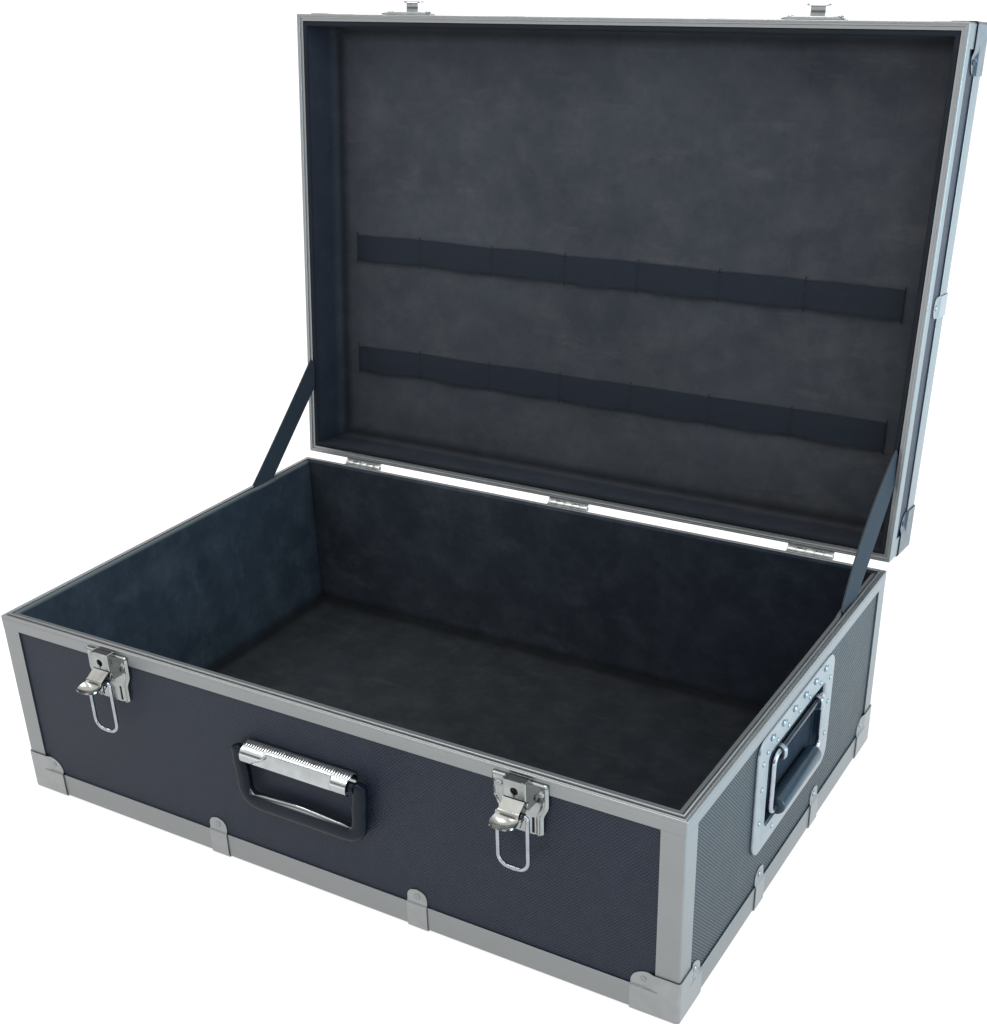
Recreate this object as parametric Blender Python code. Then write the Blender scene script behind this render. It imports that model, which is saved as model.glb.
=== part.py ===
"""An aluminium-framed case with latches, its hinged lid standing open.

Standalone Blender 4.5 script, in metres with +Z up. The origin is the centre of the base
board's underside, +X runs along the front, and the front face looks along -Y.
"""
import math

import bmesh
import bpy
from mathutils import Matrix, Vector

# The case as a whole
case_width = 0.650
case_depth = 0.439
base_height = 0.177
lid_height = 0.061
lid_open_angle = math.radians(95.8)
fit_gap = 0.0003
cut_overrun = 0.002

# Boards, lining and aluminium profiles
profile_wall = 0.0010
board_thickness = 0.0036
lining_thickness = 0.0056
lining_edge_thickness = 0.0043
floor_lining_thickness = 0.0043
lining_drop = 0.0012
lining_edge = 0.0002
rim_height = 0.0120
rim_leg_depth = 0.0090
rim_web = 0.0030
rim_bead_width = 0.0036
rim_bead_radius = 0.0010
rim_line_height = 0.0022
rim_line_depth = 0.0004
rim_corner_ease = 0.0008
tongue_width = 0.0019
tongue_height = 0.0013
tongue_clearance = 0.0004
edge_leg = 0.0225
edge_radius = 0.0015
post_leg = 0.0190
post_inset = 0.0001

# Pressed steel corner caps and edge clips
steel_sheet = 0.0008
cap_width = 0.0350
cap_height = 0.0375
cap_lobe_rise = 0.0035
cap_lobe_radius = 0.0085
cap_radius = 0.0024
clip_width = 0.0184
clip_reach = 0.0370
clip_under = 0.0230
clip_round_share = 0.40
front_clip_share = 0.3125
side_clip_share = 0.2911

# Hinges
hinge_reach = 0.0050
hinge_width = 0.0440
hinge_leaf_height = 0.0200
hinge_sheet = 0.0012
hinge_pin_radius = 0.0012
hinge_share = 0.7754

# Latches, on the front wall
latch_share = 0.6108
latch_plate_width = 0.0455
latch_waist_width = 0.0370
latch_plate_top = 0.0036
latch_plate_height = 0.0444
latch_shoulder_drop = 0.0190
latch_waist_drop = 0.0285
latch_sheet = 0.0012
latch_corner_radius = 0.0020
latch_waist_radius = 0.0060
latch_fold_width = 0.0014
latch_fold_height = 0.0012
latch_slot_width = 0.0020
latch_slot_length = 0.0130
latch_slot_drop = 0.0300
box_width = 0.0192
box_proud = 0.0100
box_top = 0.0016
box_bottom = 0.0155
box_lip = 0.0040
keyhole_radius = 0.0031
keyhole_slit_width = 0.0020
keyhole_slit_length = 0.0052
keyhole_drop = 0.0085
lever_pivot_proud = 0.0075
lever_pivot_drop = 0.0205
lever_axle_radius = 0.0015
lever_length = 0.0270
lever_root_width = 0.0164
lever_spoon_width = 0.0190
lever_sheet = 0.0012
lever_flange_depth = 0.0040
lever_rise = 0.0036
lever_rest_angles = (math.radians(-28.0), math.radians(-40.0))
cheek_lobe_radius = 0.0042
bail_arm = 0.0082
bail_offset = 0.0009
bail_wire_radius = 0.00165
bail_width = 0.0280
bail_length = 0.0475
bail_corner_radius = 0.0090
bail_pin_length = 0.0061
spring_wire_radius = 0.00035
spring_turns = 1.5
spring_turn_points = 10
spring_leg = 0.0080
spring_pitch = 0.00078
plug_radius = 0.0042
plug_length = 0.0050

# Strikes, on the lid's front wall
strike_width = 0.0540
strike_height = 0.0215
strike_drop = 0.0022
strike_hook_width = 0.0124
strike_lip_width = 0.0200
strike_lip_height = 0.0070
strike_sheet = 0.0012
strike_hook_rise = 0.0160
strike_reach = 0.0124

# Front handle
saddle_half_width = 0.0520
saddle_top = 0.0460
saddle_sheet = 0.0012
saddle_tongue_half_width = 0.0360
handle_axis_proud = 0.0076
handle_axis_drop = 0.0548
handle_stub_radius = 0.0043
handle_half_width = 0.0620
handle_drop = 0.0540
handle_bar_height = 0.0170
handle_arm_width = 0.0096
handle_arm_wide = 0.0130
handle_thickness = 0.0086
handle_clear = 0.0018
handle_corner_radius = 0.0160

# Side handles
dish_length = 0.1700
dish_height = 0.1060
dish_corner_radius = 0.0140
dish_sheet = 0.0022
dish_drop = 0.0128
dish_shift = -0.0040
tray_length = 0.1280
tray_height = 0.0670
tray_corner_radius = 0.0060
tray_depth = 0.0097
tray_sheet = 0.0008
tray_draft = 0.0040
tray_drop = 0.0200
rod_proud = 0.0022
rod_inset = 0.0035
ear_width = 0.0050
ear_height = 0.0125
ear_proud = 0.0068
ear_place = 0.0420
side_bail_radius = 0.0025
side_bail_half_width = 0.0560
side_bail_length = 0.0520
side_bail_corner_radius = 0.0080
side_grip_radius = 0.0080
side_grip_half_length = 0.0440
dish_cover_thickness = 0.0030
dish_cover_slope = 0.0060

# Straps
elastic_width = 0.0260
elastic_thickness = 0.0012
elastic_bulge = 0.0022
elastic_end_inset = 0.0330
elastic_depth_shares = (0.5080, 0.7738)
elastic_loop_shares = (0.0, 0.137, 0.285, 0.428, 0.563, 0.705, 0.847, 1.0)
elastic_points_a_loop = 6
stay_width = 0.0250
stay_thickness = 0.0014
stay_base_from_back = 0.1023
stay_lid_from_back = 0.1018
stay_base_drop = 0.0120
stay_lid_rise = 0.0120

# Places worked out from those sizes
half_width = case_width / 2
half_depth = case_depth / 2
hinge_spread = hinge_share * half_width
latch_spread = latch_share * half_width
elastic_half_length = half_width - elastic_end_inset
elastic_depths = tuple(share * case_depth for share in elastic_depth_shares)
board_face = profile_wall + fit_gap
board_back = board_face + board_thickness
rim_leg_face = board_back + fit_gap
rim_width = rim_leg_face + profile_wall
lining_back = rim_leg_face
lining_face = lining_back + lining_thickness
lining_edge_back = lining_face - lining_edge_thickness
floor_lining_top = 0.0
floor_panel_top = floor_lining_top - floor_lining_thickness - fit_gap
floor_panel_underside = floor_panel_top - board_thickness
frame_bottom = floor_panel_underside - board_face
seam_z = frame_bottom + base_height
lid_seam_z = seam_z + fit_gap
lid_top_z = lid_seam_z + lid_height
hinge_y = half_depth + hinge_reach
hinge_z = seam_z + fit_gap / 2
lid_board_top = lid_top_z - board_face
lid_board_underside = lid_board_top - board_thickness
lid_lining_underside = lid_board_underside - fit_gap - floor_lining_thickness
round_steps = 6


def clear_scene():
    """Remove every object that the file opened with."""
    for item in list(bpy.data.objects):
        bpy.data.objects.remove(item, do_unlink=True)


def make_collection(name):
    """A new collection in the scene."""
    collection = bpy.data.collections.new(name)
    bpy.context.scene.collection.children.link(collection)
    return collection


def make_material(name, colour, roughness, metallic):
    """A Principled material of one colour."""
    material = bpy.data.materials.new(name)
    material.use_nodes = True
    shader = material.node_tree.nodes["Principled BSDF"]
    shader.inputs["Base Color"].default_value = (*colour, 1.0)
    shader.inputs["Roughness"].default_value = roughness
    shader.inputs["Metallic"].default_value = metallic
    material.diffuse_color = (*colour, 1.0)
    return material


clear_scene()
case_collection = make_collection("aluminium_case")
aluminium = make_material("satin_aluminium", (0.60, 0.61, 0.62), 0.38, 0.9)
laminate = make_material("slate_laminate", (0.055, 0.058, 0.078), 0.45, 0.0)
cloth = make_material("lining_cloth", (0.018, 0.020, 0.028), 0.90, 0.0)
nickel = make_material("nickel_plate", (0.74, 0.74, 0.71), 0.16, 1.0)
clip_steel = make_material("clip_steel", (0.58, 0.58, 0.56), 0.32, 0.9)
black_plastic = make_material("black_plastic", (0.016, 0.018, 0.022), 0.22, 0.0)
webbing = make_material("black_webbing", (0.020, 0.021, 0.026), 0.85, 0.0)


def cleaned(mesh):
    """Weld loose caps and turn every face outwards."""
    body = bmesh.new()
    body.from_mesh(mesh)
    bmesh.ops.remove_doubles(body, verts=body.verts, dist=0.000002)
    bmesh.ops.recalc_face_normals(body, faces=body.faces)
    body.to_mesh(mesh)
    body.free()
    return mesh


def evaluated_mesh(item):
    """The finished mesh of a working object, which is then removed."""
    graph = bpy.context.evaluated_depsgraph_get()
    mesh = bpy.data.meshes.new_from_object(item.evaluated_get(graph))
    bpy.data.objects.remove(item, do_unlink=True)
    return mesh


def working_object(name, data):
    """A short-lived object that carries a curve or a mesh."""
    item = bpy.data.objects.new(name, data)
    case_collection.objects.link(item)
    return item


def flat_plate(outline, thickness, holes=()):
    """A flat outline in the XY plane with through holes, thick along Z about zero."""
    curve = bpy.data.curves.new("outline", "CURVE")
    curve.dimensions = "2D"
    curve.fill_mode = "BOTH"
    curve.extrude = thickness / 2
    for loop in (outline, *holes):
        spline = curve.splines.new("POLY")
        spline.points.add(len(loop) - 1)
        for point, (x, y) in zip(spline.points, loop):
            point.co = (x, y, 0.0, 1.0)
        spline.use_cyclic_u = True
    return cleaned(evaluated_mesh(working_object("outline", curve)))


def round_wire(path, radius, closed=False, resolution=2):
    """A round wire along a path of points."""
    curve = bpy.data.curves.new("wire", "CURVE")
    curve.dimensions = "3D"
    curve.bevel_depth = radius
    curve.bevel_resolution = resolution
    curve.use_fill_caps = True
    spline = curve.splines.new("POLY")
    spline.points.add(len(path) - 1)
    for point, place in zip(spline.points, path):
        point.co = (*place, 1.0)
    spline.use_cyclic_u = closed
    return cleaned(evaluated_mesh(working_object("wire", curve)))


def block(low, high):
    """A box between two corners."""
    body = bmesh.new()
    bmesh.ops.create_cube(body, size=1.0)
    low, high = Vector(low), Vector(high)
    size = high - low
    place = Matrix.Translation((low + high) / 2) @ Matrix.Diagonal((*size, 1.0))
    bmesh.ops.transform(body, matrix=place, verts=body.verts)
    mesh = bpy.data.meshes.new("block")
    body.to_mesh(mesh)
    body.free()
    return mesh


def cylinder(radius, length, axis="Z", sides=16):
    """A cylinder about the origin along one axis."""
    body = bmesh.new()
    bmesh.ops.create_cone(
        body, cap_ends=True, segments=sides, radius1=radius, radius2=radius, depth=length
    )
    turn = {"X": Matrix.Rotation(math.pi / 2, 4, "Y"), "Z": Matrix.Identity(4)}[axis]
    bmesh.ops.transform(body, matrix=turn, verts=body.verts)
    mesh = bpy.data.meshes.new("cylinder")
    body.to_mesh(mesh)
    body.free()
    return mesh


def moved(mesh, matrix):
    """A copy of a mesh under a matrix, which may mirror it."""
    copy = mesh.copy()
    copy.transform(matrix)
    if matrix.determinant() < 0:
        copy.flip_normals()
    return copy


def shifted(mesh, x=0.0, y=0.0, z=0.0):
    """A copy of a mesh moved along the axes."""
    return moved(mesh, Matrix.Translation((x, y, z)))


def combined(operation, first, *others):
    """The exact union, difference or intersection of meshes."""
    result = first
    for other in others:
        base = working_object("base", result)
        tool = working_object("tool", other)
        modifier = base.modifiers.new("combine", "BOOLEAN")
        modifier.operation = operation
        modifier.solver = "EXACT"
        modifier.object = tool
        result = cleaned(evaluated_mesh(base))
        bpy.data.objects.remove(tool, do_unlink=True)
    return result


def loft(rings, closed=False):
    """A solid through rings of equal length, with flat ends or closed on itself."""
    body = bmesh.new()
    loops = [[body.verts.new(point) for point in ring] for ring in rings]
    count = len(loops[0])
    pairs = list(zip(loops, loops[1:]))
    if closed:
        pairs.append((loops[-1], loops[0]))
    else:
        body.faces.new(loops[0][::-1])
        body.faces.new(loops[-1])
    for near, far in pairs:
        for index in range(count):
            after = (index + 1) % count
            body.faces.new((near[index], near[after], far[after], far[index]))
    bmesh.ops.remove_doubles(body, verts=body.verts, dist=0.000002)
    bmesh.ops.recalc_face_normals(body, faces=body.faces)
    bmesh.ops.triangulate(body, faces=body.faces)
    mesh = bpy.data.meshes.new("loft")
    body.to_mesh(mesh)
    body.free()
    return mesh


def arc(centre, radius, start, end, steps=round_steps):
    """Points on an arc in a plane, angles in degrees."""
    angles = [math.radians(start + (end - start) * step / steps) for step in range(steps + 1)]
    return [(centre[0] + radius * math.cos(a), centre[1] + radius * math.sin(a)) for a in angles]


def circle(centre, radius, sides=16):
    """A closed ring of points."""
    return arc(centre, radius, 0.0, 360.0, sides)[:-1]


def rounded(points, radii, steps=4):
    """A closed outline whose corners are rounded, each by its own radius."""
    outline = []
    count = len(points)
    for index in range(count):
        corner = Vector(points[index])
        radius = radii[index] if isinstance(radii, (list, tuple)) else radii
        before = (Vector(points[index - 1]) - corner).normalized()
        after = (Vector(points[(index + 1) % count]) - corner).normalized()
        if radius <= 0.0:
            outline.append(tuple(corner))
            continue
        half = before.angle(after) / 2
        bisector = (before + after).normalized()
        centre = corner + bisector * (radius / math.sin(half))
        first = corner + before * (radius / math.tan(half)) - centre
        last = corner + after * (radius / math.tan(half)) - centre
        start = math.atan2(first.y, first.x)
        sweep = (math.atan2(last.y, last.x) - start + math.pi) % (2 * math.pi) - math.pi
        for step in range(steps + 1):
            angle = start + sweep * step / steps
            outline.append((centre.x + radius * math.cos(angle), centre.y + radius * math.sin(angle)))
    return outline


def rectangle(half_x, half_y, centre=(0.0, 0.0)):
    """The four corners of a rectangle, anticlockwise."""
    x, y = centre
    return [
        (x - half_x, y - half_y),
        (x + half_x, y - half_y),
        (x + half_x, y + half_y),
        (x - half_x, y + half_y),
    ]


def bent_path(corners, radii, steps=4):
    """An open path in space whose inner corners are rounded."""
    path = [tuple(corners[0])]
    for before, corner, after, radius in zip(corners, corners[1:], corners[2:], radii):
        corner = Vector(corner)
        back = (Vector(before) - corner).normalized()
        ahead = (Vector(after) - corner).normalized()
        half = back.angle(ahead) / 2
        centre = corner + (back + ahead).normalized() * (radius / math.sin(half))
        first = corner + back * (radius / math.tan(half)) - centre
        last = corner + ahead * (radius / math.tan(half)) - centre
        turn = first.angle(last)
        for step in range(steps + 1):
            near = math.sin(turn * (1 - step / steps)) / math.sin(turn)
            far = math.sin(turn * step / steps) / math.sin(turn)
            path.append(tuple(centre + first * near + last * far))
    path.append(tuple(corners[-1]))
    return path


def sheet_outline(path, thickness):
    """The closed outline of a bent sheet whose middle follows an open path."""
    left, right = [], []
    for index, place in enumerate(path):
        here = Vector(place)
        back = (here - Vector(path[index - 1])).normalized() if index else None
        ahead = (Vector(path[index + 1]) - here).normalized() if index + 1 < len(path) else back
        back = back or ahead
        side = Vector((-(back + ahead).y, (back + ahead).x)).normalized()
        reach = thickness / 2 / max(side.dot(Vector((-ahead.y, ahead.x))), 0.5)
        left.append(tuple(here + side * reach))
        right.append(tuple(here - side * reach))
    return left + right[::-1]


def ribbon(path, half_widths, thickness, dishes, across=4):
    """A sheet along a path of (out, up) points, with a half width and a dish at each point.

    The sheet's width runs along X; the dish lowers the middle of a section below its edges.
    """
    rings = []
    for index, place in enumerate(path):
        back = Vector(path[max(index - 1, 0)])
        ahead = Vector(path[min(index + 1, len(path) - 1)])
        along = (ahead - back).normalized()
        normal = Vector((-along.y, along.x))
        top, under = [], []
        for step in range(across + 1):
            share = 2 * step / across - 1
            lift = dishes[index] * share * share
            middle = Vector(place) + normal * lift
            upper = middle + normal * (thickness / 2)
            lower = middle - normal * (thickness / 2)
            top.append((half_widths[index] * share, upper.y, upper.x))
            under.append((half_widths[index] * share, lower.y, lower.x))
        rings.append(top + under[::-1])
    return loft(rings)


def face_frame(side, origin):
    """Local (along, up, out) axes on an outer wall of the case."""
    along, out = {
        "front": ((1, 0, 0), (0, -1, 0)),
        "back": ((-1, 0, 0), (0, 1, 0)),
        "right": ((0, 1, 0), (1, 0, 0)),
        "left": ((0, -1, 0), (-1, 0, 0)),
    }[side]
    columns = Matrix((along, (0, 0, 1), out)).transposed().to_4x4()
    return Matrix.Translation(origin) @ columns


section_turn = Matrix(((0, 0, -1, 0), (0, 1, 0, 0), (1, 0, 0, 0), (0, 0, 0, 1)))


def bar(section, width, holes=()):
    """A section in (out, up), pushed out along a wall: the mesh is in (along, up, out)."""
    return moved(flat_plate(section, width, holes), section_turn)


def add(name, mesh, material, parent=None, place=None, smooth=False):
    """Put a finished mesh in the scene as a named piece."""
    mesh.name = name
    mesh.materials.clear()
    mesh.materials.append(material)
    item = bpy.data.objects.new(name, mesh)
    case_collection.objects.link(item)
    if smooth:
        mesh.shade_smooth()
        mesh.set_sharp_from_angle(angle=math.radians(35.0))
    if parent:
        item.parent = parent
    if place is not None:
        item.matrix_local = place
    return item


def pivot(name, place, parent=None):
    """An empty on a joint's axis."""
    empty = bpy.data.objects.new(name, None)
    case_collection.objects.link(empty)
    empty.empty_display_size = hinge_leaf_height
    if parent:
        empty.parent = parent
    empty.matrix_local = place
    return empty


wall_sides = (
    ("front", half_width, half_depth),
    ("back", half_width, half_depth),
    ("left", half_depth, half_width),
    ("right", half_depth, half_width),
)


def wall_origin(side, along, height):
    """A point on the outer plane of a wall, by its world place along the wall."""
    return {
        "front": (along, -half_depth, height),
        "back": (along, half_depth, height),
        "left": (-half_width, along, height),
        "right": (half_width, along, height),
    }[side]


def case_ring(section, relief=0.0):
    """A frame round the case from a section in (inward, up), its outer corners eased."""
    rings = []
    for end, side in ((1, 1), (-1, 1), (-1, -1), (1, -1)):
        short = [
            (end * (half_width - inward), side * (half_depth - max(inward, relief)), up)
            for inward, up in section
        ]
        long = [
            (end * (half_width - max(inward, relief)), side * (half_depth - inward), up)
            for inward, up in section
        ]
        corner = (short, long) if end * side > 0 else (long, short)
        rings += corner if relief else corner[:1]
    return loft(rings, closed=True)


def rim_section(seam, way, tongue):
    """The rim extrusion in (inward, up). way is +1 for the lid, whose board stands above."""
    shade = rim_line_height
    outer = [
        (0.0, rim_height),
        (0.0, shade + rim_line_depth),
        (rim_line_depth, shade),
        (0.0, shade - rim_line_depth),
        (0.0, rim_bead_radius),
        (rim_bead_radius * 0.3, rim_bead_radius * 0.3),
        (rim_bead_radius, 0.0),
        (rim_bead_width - rim_line_depth, 0.0),
        (rim_bead_width, rim_line_depth),
    ]
    start = rim_width - tongue_width
    if tongue:
        crest = [
            (rim_bead_width, rim_bead_radius),
            (start, rim_bead_radius),
            (start, -tongue_height + rim_line_depth),
            (start + rim_line_depth, -tongue_height),
            (rim_width - rim_line_depth, -tongue_height),
            (rim_width, -tongue_height + rim_line_depth),
        ]
    else:
        crest = [
            (rim_bead_width, tongue_height + tongue_clearance),
            (rim_width, tongue_height + tongue_clearance),
        ]
    inner = [
        (rim_width, rim_leg_depth),
        (rim_leg_face, rim_leg_depth),
        (rim_leg_face, rim_web),
        (profile_wall, rim_web),
        (profile_wall, rim_height),
    ]
    return [(inward, seam + way * up) for inward, up in outer + crest + inner]


def edge_section(plane, way):
    """The corner extrusion that wraps the bottom or top edge, in (inward, up)."""
    corner = [(inward, up) for inward, up in arc((edge_radius, edge_radius), edge_radius, 180, 270, 3)]
    points = [(0.0, edge_leg)] + corner + [
        (edge_leg, 0.0),
        (edge_leg, profile_wall),
        (profile_wall, profile_wall),
        (profile_wall, edge_leg),
    ]
    return [(inward, plane + way * up) for inward, up in points]


def corner_post(low, high):
    """The angle extrusion that stands at the front left corner."""
    outline = [(0.0, post_leg)] + arc((edge_radius, edge_radius), edge_radius, 180, 270, 3) + [
        (post_leg, 0.0),
        (post_leg, profile_wall),
        (profile_wall, profile_wall),
        (profile_wall, post_leg),
    ]
    mesh = flat_plate(outline, high - low)
    return shifted(mesh, -half_width + post_inset, -half_depth + post_inset, (low + high) / 2)


corner_signs = {
    "front_left": (1, 1),
    "front_right": (-1, 1),
    "back_left": (1, -1),
    "back_right": (-1, -1),
}


def four_corners(mesh):
    """Mirror a front left corner piece to all four corners."""
    return {
        word: moved(mesh, Matrix.Diagonal((x, y, 1.0, 1.0))) for word, (x, y) in corner_signs.items()
    }


def lining_section(seam, way, end):
    """A wall lining in (inward, up), thinner where it passes the rim's inner leg."""
    edge = seam + way * lining_drop
    leg_end = seam + way * (rim_leg_depth + fit_gap)
    return [
        (lining_back, end),
        (lining_face, end),
        (lining_face, edge),
        (lining_edge_back, edge),
        (lining_edge_back, leg_end),
        (lining_back, leg_end),
    ]


def board(half_x, half_y, low, high):
    """A flat board about the centre line, between two heights."""
    return block((-half_x, -half_y, low), (half_x, half_y, high))


def long_wall(front, low, high):
    """The front or back board, which runs the whole width."""
    outer = half_depth - board_face
    inner = half_depth - board_back
    side = -1.0 if front else 1.0
    ends = sorted((side * outer, side * inner))
    return block((-half_width + board_face, ends[0], low), (half_width - board_face, ends[1], high))


def short_wall(right, low, high):
    """The left or right board, between the front and the back."""
    reach = half_depth - board_back - fit_gap
    side = 1.0 if right else -1.0
    ends = sorted((side * (half_width - board_face), side * (half_width - board_back)))
    return block((ends[0], -reach, low), (ends[1], reach, high))


def corner_block(low, high, radius):
    """A cube whose three edges at the low corner are rounded."""
    body = bmesh.new()
    body.from_mesh(block((low, low, low), (high, high, high)))
    corner = min(body.verts, key=lambda vertex: sum(vertex.co))
    bmesh.ops.bevel(
        body,
        geom=list(corner.link_edges),
        offset=radius,
        segments=3,
        profile=0.5,
        affect="EDGES",
    )
    mesh = bpy.data.meshes.new("corner_block")
    body.to_mesh(mesh)
    body.free()
    return mesh


def corner_cap():
    """A pressed cap over the three faces that meet at the origin."""
    reach = cap_height + cap_lobe_rise + cap_radius
    far = reach + 2 * cut_overrun
    shell = combined(
        "DIFFERENCE",
        corner_block(-fit_gap - steel_sheet, reach, cap_radius),
        corner_block(-fit_gap, far, cap_radius - steel_sheet),
    )
    start = -2 * cut_overrun
    depth = cap_radius - fit_gap - steel_sheet
    lobe = (cap_width - cap_lobe_radius - cap_radius, cap_height + cap_lobe_rise - cap_lobe_radius)
    above = [(start, cap_height)] + arc(lobe, cap_lobe_radius, 144.0, 0.0) + [
        (cap_width, edge_leg),
        (cap_width, start),
        (far, start),
        (far, far),
        (start, far),
    ]
    bend = cap_width - cap_lobe_radius
    beyond = [(start, cap_width)] + arc((bend, bend), cap_lobe_radius, 90.0, 0.0) + [
        (cap_width, start),
        (far, start),
        (far, far),
        (start, far),
    ]
    thickness = depth - start
    middle = (depth + start) / 2
    front = moved(
        flat_plate(above, thickness),
        Matrix.Translation((0.0, middle, 0.0)) @ Matrix.Rotation(math.pi / 2, 4, "X"),
    )
    swap = Matrix(((0, 1, 0, 0), (1, 0, 0, 0), (0, 0, 1, 0), (0, 0, 0, 1)))
    under = shifted(flat_plate(beyond, thickness), z=middle)
    return combined("DIFFERENCE", shell, front, moved(front, swap), under)


def edge_clip():
    """A pressed clip round the lower edge, with its corner line at the origin."""
    inner = -profile_wall / 2
    outer = fit_gap + steel_sheet
    section = [(-clip_under, -outer)] + arc((0.0, 0.0), outer, 270.0, 360.0, 3)
    section += [(outer, clip_reach), (inner, clip_reach), (inner, -inner), (-clip_under, -inner)]
    sheet = bar(section, clip_width)
    half = clip_width / 2 + fit_gap
    bend = clip_width * clip_round_share
    corners = [(-half, -cut_overrun), (half, -cut_overrun), (half, clip_reach), (-half, clip_reach)]
    outline = rounded(corners, [0.0, 0.0, bend, bend])
    prism = flat_plate(outline, 2 * clip_under + 2 * cut_overrun)
    return combined("INTERSECT", sheet, prism)


def clip_places(front_share, side_share, with_sides=(-1, 1)):
    """Where the clips stand along each wall."""
    places = []
    for side in ("front", "back"):
        places += [(side, end * front_share * half_width) for end in (-1, 1)]
    for side in ("left", "right"):
        places += [(side, end * side_share * half_depth) for end in with_sides]
    return places


def edge_clips(places, plane, way):
    """Clips at the lower edge of the base or the upper edge of the lid."""
    clip = edge_clip()
    flip = Matrix.Diagonal((1.0, way, 1.0, 1.0))
    return [
        moved(clip, face_frame(side, wall_origin(side, along, plane)) @ flip)
        for side, along in places
    ]


def hinge_leaf(way):
    """A hinge leaf in (along, up, out): way is -1 for the base's and +1 for the lid's."""
    knuckle_radius = 2 * hinge_sheet + fit_gap / 2
    back = fit_gap
    front = fit_gap + hinge_sheet
    tab = knuckle_radius - hinge_sheet
    start = math.degrees(math.asin(tab / knuckle_radius))
    middle = (0.0, way * (hinge_leaf_height + tab) / 2)
    corners = rectangle(hinge_width / 2, (hinge_leaf_height - tab) / 2, middle)
    plate = flat_plate(corners, hinge_sheet)
    leaf = shifted(plate, z=(back + front) / 2)
    ring = arc((hinge_reach, 0.0), knuckle_radius, 180.0 + start, -90.0, 14)
    outline = [(back, -2 * tab), (back, -tab)] + ring
    outline += [(front + hinge_sheet / 2, -knuckle_radius), (front, -knuckle_radius - hinge_sheet / 2)]
    outline += [(front, -2 * tab - hinge_sheet)]
    outline[0] = (back, -2 * tab - hinge_sheet)
    outline = [(out, -way * up) for out, up in outline]
    bore = circle((hinge_reach, 0.0), hinge_pin_radius + fit_gap, 14)
    knuckle_width = hinge_width / 5
    for slot in ((-2, 0, 2) if way < 0 else (-1, 1)):
        knuckle = bar(outline, knuckle_width - fit_gap, (bore,))
        leaf = combined("UNION", leaf, shifted(knuckle, x=slot * knuckle_width))
    return leaf


def latch_plate():
    """The backing plate with its lock box and lever cheeks, in (along, up, out) from the seam."""
    half = latch_plate_width / 2
    waist = latch_waist_width / 2
    top = -latch_plate_top
    low = top - latch_plate_height
    small = latch_corner_radius
    wide = latch_waist_radius
    outline = rounded(
        [
            (-half, top),
            (-half, top - latch_shoulder_drop),
            (-waist, top - latch_waist_drop),
            (-waist, low),
            (waist, low),
            (waist, top - latch_waist_drop),
            (half, top - latch_shoulder_drop),
            (half, top),
        ],
        [small, wide, wide, small, small, wide, wide, small],
    )
    slots = [
        rounded(
            rectangle(
                latch_slot_width / 2,
                latch_slot_length / 2,
                (side * (waist - 4 * latch_slot_width), top - latch_slot_drop - latch_slot_length / 2),
            ),
            latch_slot_width * 0.4,
        )
        for side in (-1, 1)
    ]
    back = fit_gap
    front = fit_gap + latch_sheet
    plate = shifted(flat_plate(outline, latch_sheet, slots), z=(back + front) / 2)
    fold = block(
        (-half + latch_sheet, top - latch_fold_width, front - latch_sheet / 2),
        (half - latch_sheet, top, front + latch_fold_height),
    )
    box = block(
        (-box_width / 2, -box_bottom, front - latch_sheet / 2),
        (box_width / 2, -box_top, box_proud),
    )
    cheek = flat_plate(
        rounded(
            [
                (front - latch_sheet / 2, -box_bottom + latch_sheet),
                (front - latch_sheet / 2, -lever_pivot_drop - cheek_lobe_radius),
                (lever_pivot_proud, -lever_pivot_drop - cheek_lobe_radius - latch_sheet / 2),
                (lever_pivot_proud + cheek_lobe_radius, -lever_pivot_drop - latch_sheet),
                (box_proud, -box_bottom + latch_sheet),
            ],
            [0.0, 0.0, cheek_lobe_radius * 0.5, cheek_lobe_radius * 0.5, 0.0],
        ),
        latch_sheet,
    )
    cheek = moved(cheek, section_turn)
    offset = box_width / 2 - latch_sheet / 2
    body = combined("UNION", plate, fold, box, shifted(cheek, x=offset), shifted(cheek, x=-offset))
    inside = block(
        (-box_width / 2 + latch_sheet, -box_bottom - latch_sheet, front + lining_edge),
        (box_width / 2 - latch_sheet, -box_top - latch_sheet, box_proud - latch_sheet),
    )
    mouth = block(
        (-box_width / 2 + 2 * latch_sheet, -box_top - 2 * latch_sheet, front + latch_sheet / 2),
        (box_width / 2 - 2 * latch_sheet, -box_top + latch_sheet, front + box_lip),
    )
    middle = -box_top - keyhole_drop
    eye = shifted(cylinder(keyhole_radius, 4 * latch_sheet), y=middle, z=box_proud)
    slit = block(
        (-keyhole_slit_width / 2, middle - keyhole_slit_length, box_proud - 2 * latch_sheet),
        (keyhole_slit_width / 2, middle, box_proud + latch_sheet),
    )
    axle = cylinder(lever_axle_radius + fit_gap, box_width + 4 * latch_sheet, "X")
    axle = shifted(axle, y=-lever_pivot_drop, z=lever_pivot_proud)
    return combined("DIFFERENCE", body, inside, mouth, eye, slit, axle)


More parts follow.
